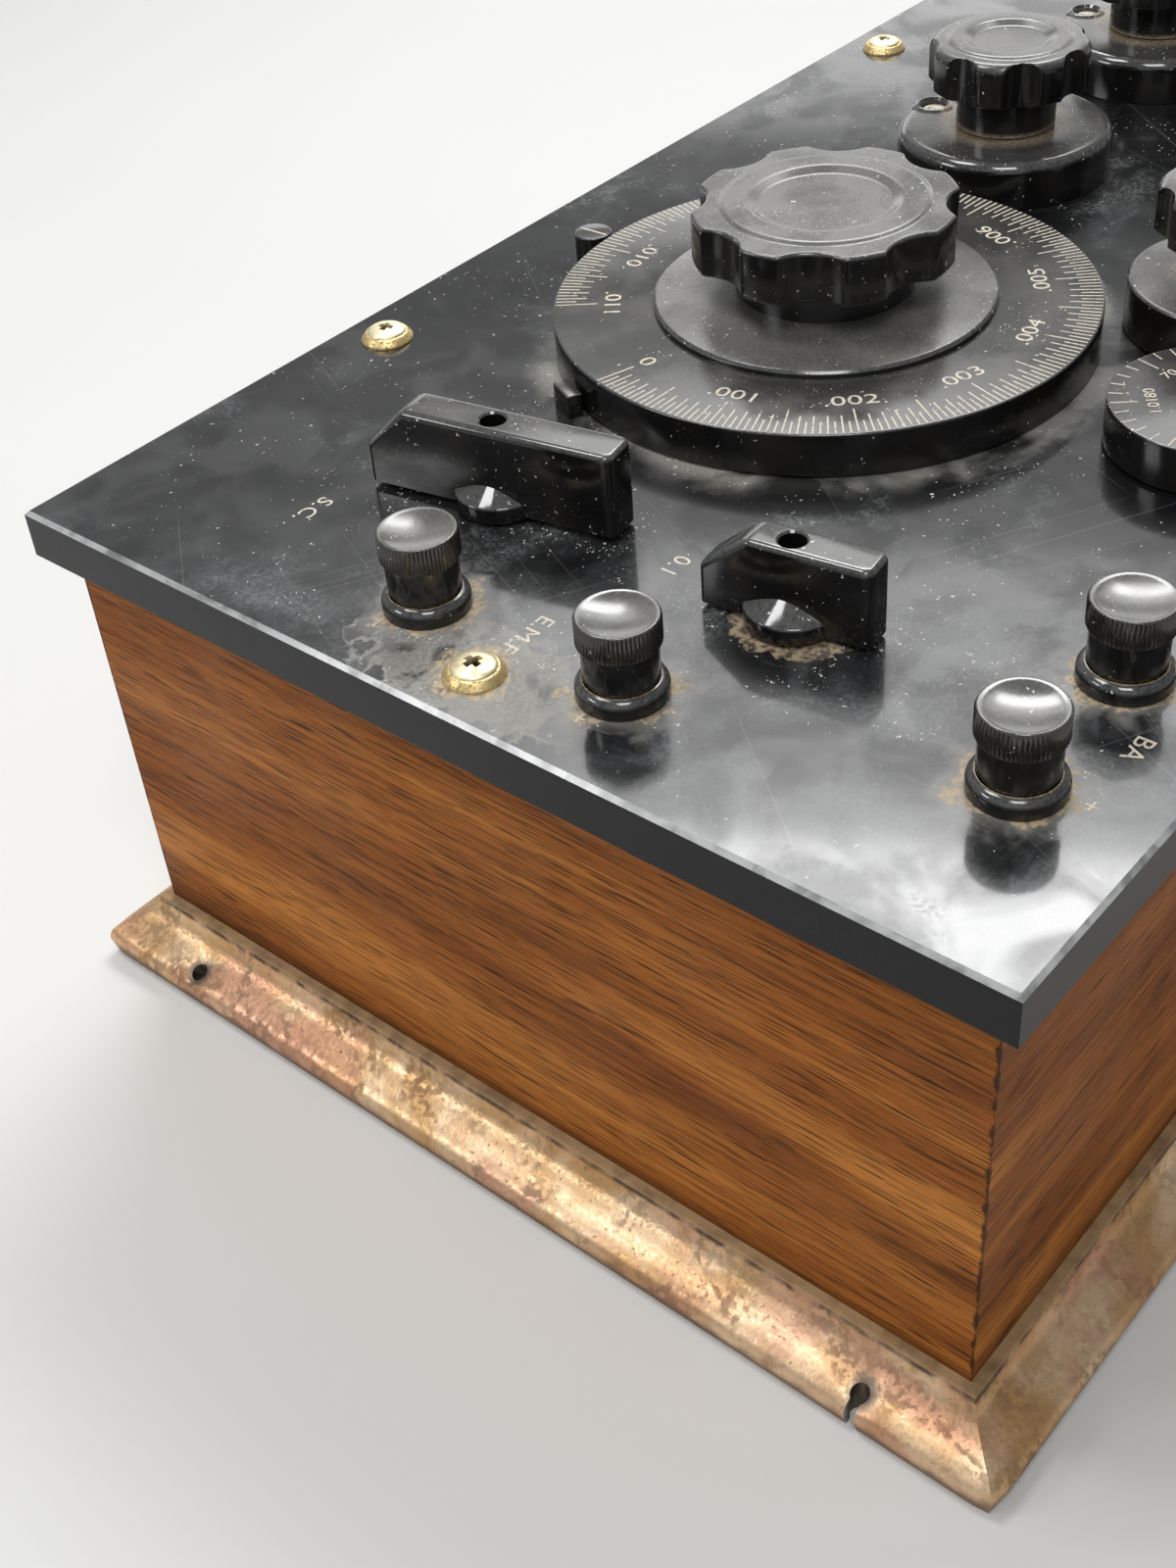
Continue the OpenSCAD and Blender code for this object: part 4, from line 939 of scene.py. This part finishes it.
# Decade switches
# A fluted knob turns a brush over a ring of studs under the panel, and a number dial under a moulded cover.
# One number at a time shows through the cover's window.
IVORY = (0.80, 0.72, 0.60, 1)
IVORY_STAIN = (0.46, 0.37, 0.26, 1)
PRINT = (0.012, 0.012, 0.012, 1)
PRINT_WORN = (0.03, 0.028, 0.025, 1)
cover_black = moulded("cover_black", dust_and_sheen=0.14, specked=0.25, rough=(0.08, 0.18))
small_knob_black = moulded("small_knob_black", dust_and_sheen=0.3, specked=0.2, rough=(0.12, 0.24))
number_dial, shader, where = finish("number_dial", Roughness=0.5)
stained = fade(cloud(where, 300, 5, 0.4), 0.4, 0.75, 0, 0.6)
drive(shader, Base_Color=blend(stained, IVORY, IVORY_STAIN))
print_black, shader, where = finish("print_black", Roughness=0.5)
worn = fade(cloud(where, 900), 0.4, 0.7)
drive(shader, Base_Color=blend(worn, PRINT, PRINT_WORN))
DECADE_TURN = math.radians(-5.4)
small_r = 20 * MM
small_neck_r = 12.5 * MM
small_head_h = 11.5 * MM
small_fillet = 2.6 * MM
small_axle_r = 3.2 * MM + slip
window_out = 21.5 * MM
window_r = 3.3 * MM
window_rise = 0.7 * MM
brim_r = window_r + 2.2 * MM
brim_edge = 0.6 * MM
cover_r = 27.2 * MM
cover_wall = 2 * MM
cover_roof = 0.8 * MM
cover_round = 3.2 * MM
cover_bore = small_axle_r + 0.4 * MM
dial_gap = 0.2 * MM
print_h = 3 * MM
grimy_r = 18 * MM
grimy_dip = 0.02 * MM
for name, first, pitch, count in (("decade_1", -140, 20, 16), ("decade_2", -150, 30, 11)):
    axis = axes[name]
    knob_low, knob_top = heights(name + "_knob")
    axle_top = axle_end(name)
    base = [(0, axle_top), (small_axle_r, axle_top), (small_axle_r, knob_low), (small_neck_r, knob_low)]
    bm = fluted_knob(
        base, small_r, knob_top, small_head_h, small_fillet, small_neck_r, DECADE_TURN, follow=False)
    piece(name + "_fluted_knob", stood(bm, axis), small_knob_black, name, "bakelite", name + "_knob")
    cover_low, brim_top = heights(name + "_cover")
    cover_top = brim_top - window_rise
    bm = turned([
        (0, cover_low), (cover_r, cover_low, foot_edge), (cover_r, cover_top, cover_round),
        (grimy_r, cover_top - grimy_dip), (small_neck_r + grime_ring, cover_top), (0, cover_top),
    ], steps=160, arcs=8)
    brim_low = cover_top - cover_round
    brim = turned([
        (0, brim_low), (brim_r, brim_low), (brim_r, cover_top),
        ((window_r + brim_r) / 2, brim_top, brim_edge), (0, brim_top),
    ], steps=64, arcs=6)
    hole = turned([
        (0, cover_low), (window_r, cover_low), (window_r, cover_top),
        (window_r + window_rise, brim_top + slip), (0, brim_top + slip),
    ], steps=64)
    for tool in (brim, hole):
        bmesh.ops.translate(tool, vec=(0, -window_out, 0), verts=tool.verts)
    inner = cover_r - cover_wall
    ceiling = cover_top - cover_roof
    hollow = turned([
        (0, cover_low - slip), (inner, cover_low - slip), (inner, ceiling), (cover_bore, ceiling),
        (cover_bore, cover_top + slip), (0, cover_top + slip),
    ], steps=160)
    for tool, how in ((brim, "UNION"), (hollow, "DIFFERENCE"), (hole, "DIFFERENCE")):
        bm = worked(bm, tool, how)
    grime_and_recess_shade = bm.verts.layers.float.new("grime_and_recess_shade")
    for vert in bm.verts:
        vert[grime_and_recess_shade] = 0.7 * (vert.co.z > cover_top - slip) * (vert.co.xy.length < grimy_r - slip)
    piece(name + "_moulded_cover", stood(bm, axis), cover_black, "case", "bakelite", name + "_cover")
    disc_r = half_width(name + "_number_dial")
    disc_low = heights(name + "_number_dial")[0]
    face = ceiling - dial_gap
    bm = turned([
        (small_axle_r, disc_low), (disc_r, disc_low, foot_edge), (disc_r, face, foot_edge),
        (small_axle_r, face),
    ], steps=128, arcs=3, closed=True)
    piece(name + "_number_disc", stood(bm, axis), number_dial, name, "ivory", name + "_number_dial")
    bm = bmesh.new()
    for k in range(count):
        radius = spoke(axis, face, -90 - first - pitch * k)
        written(bm, str(k), print_h, 1, radius, window_out, math.pi / 2)
    piece(name + "_numbers", bm, print_black, name, "ivory")

# Standard-cell dial
# A small moulded cup dial with a cream scale of cell voltages, in one with the finger knob on its face. It
# is pressed on a shaft that turns the contact of a wound resistor under the panel.
cell_axis = axes["standard_cell"]
cell_r = half_width("standard_cell_dial")
cell_low, cell_top = heights("standard_cell_dial")
cell_face = dial_top
cell_knob_r = 6.6 * MM
CELL_AT = -52.6
CELL_PITCH = 10.48
cell_tick_w = 0.3 * MM
fifth_tick = 16.4 * MM
cell_tick = 19 * MM
cell_number_r = 13.6 * MM
cell_number_h = 2.5 * MM
axle_top = axle_end("standard_cell")
section = [(0, axle_top), (small_axle_r, axle_top)]
section += cup_corners(cell_r, cell_low, cell_face, small_axle_r, rim_edge)
section += [(cell_knob_r, cell_face, rim_edge), (cell_knob_r, cell_top, head_edge), (0, cell_top)]
bm = turned(section, steps=128, arcs=5)
piece("cell_dial", stood(bm, cell_axis), dial_black, "standard_cell", "black_rubber", "standard_cell_dial")
bm = bmesh.new()
for k in range(-10, 16):
    radius = spoke(cell_axis, cell_face, CELL_AT + k * CELL_PITCH)
    tick(bm, radius, cell_r - rim_edge, cell_tick if k % 5 else fifth_tick, cell_tick_w)
for k, words in ((-2, "60"), (-1, "70"), (0, "1.0180"), (1, "90"), (2, "1.0200"), (3, "10")):
    radius = spoke(cell_axis, cell_face, CELL_AT + 5 * k * CELL_PITCH)
    written(bm, words, cell_number_h, LABEL_WIDE, radius, cell_number_r, -math.pi / 2)
piece("cell_scale", bm, ink, "standard_cell", "ivory")

# Rheostats
# Two fluted knobs, each moulded in one with a cup skirt. They are pressed on shafts that turn the contacts
# of the wound bodies under the panel.
rheostat_r = 24.4 * MM
rheostat_top = panel_top + 12 * MM
shoulder = 4 * MM
for name in ("rheostat_coarse", "rheostat_fine"):
    knob_low, knob_top = heights(name + "_knob")
    axle_top = axle_end(name)
    base = [(0, axle_top), (small_axle_r, axle_top)]
    base += cup_corners(rheostat_r, knob_low, rheostat_top, small_axle_r, head_edge)
    base += [(small_neck_r + shoulder, rheostat_top), (small_neck_r, rheostat_top)]
    bm = fluted_knob(base, small_r, knob_top, small_head_h, small_fillet, small_neck_r, 0, follow=False)
    piece(name + "_fluted_knob", stood(bm, axes[name]), small_knob_black, name, "bakelite", name + "_knob")

# Bar switches and keys
# Moulded bars with a sloped nose, each pressed on a shaft that carries a blade under the panel, and two
# buttons on stems that close the galvanometer contacts.
bar_black = moulded("bar_black", dust_and_sheen=0.16, specked=0.3, rough=(0.06, 0.14))
bar_lift = 1.4 * MM
nose_h = 8.4 * MM
nose_run = 9.8 * MM
bar_round = 1.4 * MM
heel_round = 2.2 * MM
boss_r = 9.5 * MM
boss_h = 3.5 * MM
boss_cone_h = 3 * MM
boss_cone_r = 4 * MM
bar_hole_r = 2.7 * MM
bar_hole_rim = 0.4 * MM
for name, reach, w, turn in (("selector", 29.3 * MM, 9.6 * MM, 10.6), ("range", 17.8 * MM, 8.5 * MM, 8)):
    low, top = heights(name + "_bar")
    foot = panel_top + bar_lift
    outline = [(-reach, foot), (reach, foot), (reach, top)]
    outline += [(nose_run - reach, top), (-reach, foot + nose_h)]
    bm = drawn_out([(along, -w / 2, up) for along, up in outline], w)
    bmesh.ops.recalc_face_normals(bm, faces=bm.faces)
    heel = [e for e in bm.edges if e.verts[0].co.xy == e.verts[1].co.xy and e.verts[0].co.x > 0]
    bmesh.ops.bevel(
        bm, geom=heel, offset=heel_round, segments=8, profile=0.5, affect="EDGES", material=-1)
    crest = [
        e for e in bm.edges
        if max(v.co.z for v in e.verts) > foot + slip and e.calc_face_angle() > SHARP_ANGLE
    ]
    bmesh.ops.bevel(
        bm, geom=crest, offset=bar_round, segments=5, profile=0.5, affect="EDGES", material=-1)
    boss_top = low + boss_h
    boss = turned([
        (0, low), (boss_r, low, foot_edge), (boss_r, boss_top, rim_edge),
        (boss_cone_r, boss_top + boss_cone_h), (0, boss_top + boss_cone_h),
    ], steps=96)
    bm = worked(bm, boss, "UNION")
    axle_top = axle_end(name)
    drill = turned([
        (0, low - boss_h), (small_axle_r, low - boss_h), (small_axle_r, axle_top), (bar_hole_r, axle_top),
        (bar_hole_r, top - bar_hole_rim), (bar_hole_r + 2 * bar_hole_rim, top + bar_hole_rim),
        (0, top + bar_hole_rim),
    ], steps=64)
    bm = worked(bm, drill)
    bm = stood(bm, axes[name], math.radians(90 + turn))
    piece(name + "_moulded_bar", bm, bar_black, name, "bakelite", name + "_bar")
dress(cover_black, "key_coarse", "key_fine")

# Binding posts
# Knurled moulded caps with dished tops, which screw down on brass studs over round-shouldered collars.
# Handling has polished them, and grime has packed into the knurls and round the collars.
KNURLS = 62
DISH_STEPS = 10
COLLAR_TURN = 1.3
collar_low, collar_top = heights("post_collars")
collar_r = 8.8 * MM
collar_round = 2 * MM
stud_r = 2.9 * MM
cap_r = 7.95 * MM
cap_foot_r = 7.2 * MM
cap_band_h = 6 * MM
cap_bevel = 0.4 * MM
cap_bevel_h = 0.5 * MM
cap_roof = 3 * MM
cap_dish = 1.1 * MM
cap_rim_r = cap_r - 0.6 * MM
knurl_r = cap_r - 0.1 * MM
knurl_depth = 0.32 * MM
grime_r = cap_foot_r + 0.4 * MM
grime_fade = 0.5 * MM
cap_black = moulded("cap_black", dust_and_sheen=0.26, specked=0.2, rough=(0.08, 0.18))
collar_black = moulded("collar_black", dust_and_sheen=0.06, specked=0.2, rough=(0.08, 0.18))
bm = turned([
    (stud_r, collar_low), (collar_r, collar_low, crisp_edge), (collar_r, collar_top, collar_round),
    (cap_foot_r, collar_top), (stud_r, collar_top),
], steps=72, arcs=8, closed=True)
grime_and_recess_shade = bm.verts.layers.float.new("grime_and_recess_shade")
for vert in bm.verts:
    packed_dirt_and_shade = (grime_r - vert.co.xy.length) / grime_fade
    vert[grime_and_recess_shade] = max(0, min(1, packed_dirt_and_shade)) * (vert.co.z > panel_top)
repeated(bm, [place.xy for place in post_places.values()], COLLAR_TURN)
piece("collars", bm, collar_black, "case", "bakelite", "post_collars")
for name, place in post_places.items():
    low, top = heights(name + "_cap")
    band_low = top - cap_band_h
    roof = top - cap_roof
    dish = [1 - k / DISH_STEPS for k in range(1, DISH_STEPS + 1)]
    dish = [(cap_rim_r * share, top - cap_dish * (1 - share ** 2)) for share in dish]
    bm = turned([
        (0, roof), (stud_r, roof), (stud_r, low), (cap_foot_r, low, foot_edge), (cap_foot_r, band_low),
        (cap_r - cap_bevel, band_low), (cap_r, band_low + cap_bevel_h), (cap_r, top - cap_bevel_h),
        (cap_r - cap_bevel, top, crisp_edge), (cap_rim_r, top),
    ] + dish, steps=KNURLS * 4, arcs=3)
    grime_and_recess_shade = bm.verts.layers.float.new("grime_and_recess_shade")
    for vert in bm.verts:
        out = vert.co.xy.length
        if out > knurl_r:
            phase = math.atan2(vert.co.y, vert.co.x) / math.tau * KNURLS % 1
            groove = abs(2 * phase - 1)
            vert.co.xy *= 1 - knurl_depth * groove / out
            vert[grime_and_recess_shade] = 0.12 * groove ** 2
    piece(name + "_knurled_cap", stood(bm, place), cap_black, name, "bakelite", name + "_cap")

# Floor, light and camera
# A pale bench that glows far off, under a plain sky. Lamps beyond the object are mirrored by the panel and
# the rims, and others above and beside the camera light the tops, the walls, the bosses and rounded edges.
BENCH = (0.66, 0.66, 0.645, 1)
BENCH_PALE = (0.70, 0.70, 0.685, 1)
FAR_GLOW = (0.62, 0.62, 0.61, 1)
SKY = (0.96, 0.98, 1.0, 1)
SKY_STRENGTH = 0.26
bench_half = 12
glow_start = 1.3
glow_full = 3.2
paper, shader, where = finish("pale_bench", Roughness=0.8)
drive(shader, Base_Color=blend(cloud(where, 3), BENCH, BENCH_PALE))
glow = node(where, "Emission", {"Color": FAR_GLOW}).outputs[0]
path = node(where, "LightPath").outputs
seen = most(path["Is Camera Ray"], path["Is Glossy Ray"])
distant = fade(away_from(where, (0, 0), (1, 1)), glow_start, glow_full)
far_bench = node(where, "MixShader", {0: times(seen, distant), 1: shader.outputs[0], 2: glow})
tree = shader.id_data
tree.links.new(far_bench.outputs[0], tree.nodes["Material Output"].inputs["Surface"])
bm = bmesh.new()
bmesh.ops.create_grid(bm, x_segments=1, y_segments=1, size=bench_half)
bench = solid("bench", bm)
bench.data.materials.append(paper)
stage = [bench]
world = bpy.data.worlds.new("sky")
world.use_nodes = True
sky = world.node_tree.nodes["Background"].inputs
sky["Color"].default_value = SKY
sky["Strength"].default_value = SKY_STRENGTH
bpy.context.scene.world = world
for name, place, target, size, power in (
    ("key_lamp", (-0.674, -0.378, 1.205), (0.2, 0.12, 0.13), (0.75, 0.28), 8.4),
    ("soft_lamp", (-0.75, -0.45, 1.05), (0.2, 0.12, 0.13), (1.0, 0.42), 3.4),
    ("broad_lamp", (-1.0, -0.73, 1.0), (0.1, 0.05, 0.13), (1.8, 0.4), 1.0),
    ("bar_lamp", (0.31, -0.43, 1.24), (0.15, 0.0, 0.14), (0.34, 0.34), 4.5),
    ("top_lamp", (0.62, 0.4, 1.25), (0.15, 0.0, 0.13), (0.44, 0.44), 5.8),
    ("rim_lamp", (-1.3, -0.85, 0.5), (0.1, 0.05, 0.14), (1.8, 0.42), 4.0),
    ("side_lamp", (1.16, -0.8, 0.85), (0.2, 0.0, 0.05), (0.42, 0.24), 3.4),
    ("fill_lamp", (1.3, 0.7, 0.75), (0.1, 0.05, 0.08), (1.4, 1.1), 2.0),
):
    lamp = bpy.data.lights.new(name, "AREA")
    lamp.shape = "RECTANGLE"
    lamp.size, lamp.size_y = size
    lamp.energy = power
    holder = placed(name, lamp)
    aim = Vector(target) - Vector(place)
    holder.matrix_world = Matrix.Translation(place) @ aim.to_track_quat("-Z", "Y").to_matrix().to_4x4()
    stage.append(holder)
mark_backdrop(*stage)
camera = bpy.data.cameras.new("camera")
camera.lens = 45.66
camera.sensor_width = 36
holder = placed("camera", camera)
right = Vector((-0.6409, 0.7641, -0.0734))
upward = Vector((-0.53090, -0.37217, 0.76134))
onward = Vector((-0.55444, -0.52689, -0.64419))
view = Matrix((right, upward, -onward)).transposed().to_4x4()
view.translation = (0.3911, 0.2148, 0.3488)
holder.matrix_world = view
bpy.context.scene.camera = holder
bpy.context.scene.view_settings.view_transform = "Standard"

low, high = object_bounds()
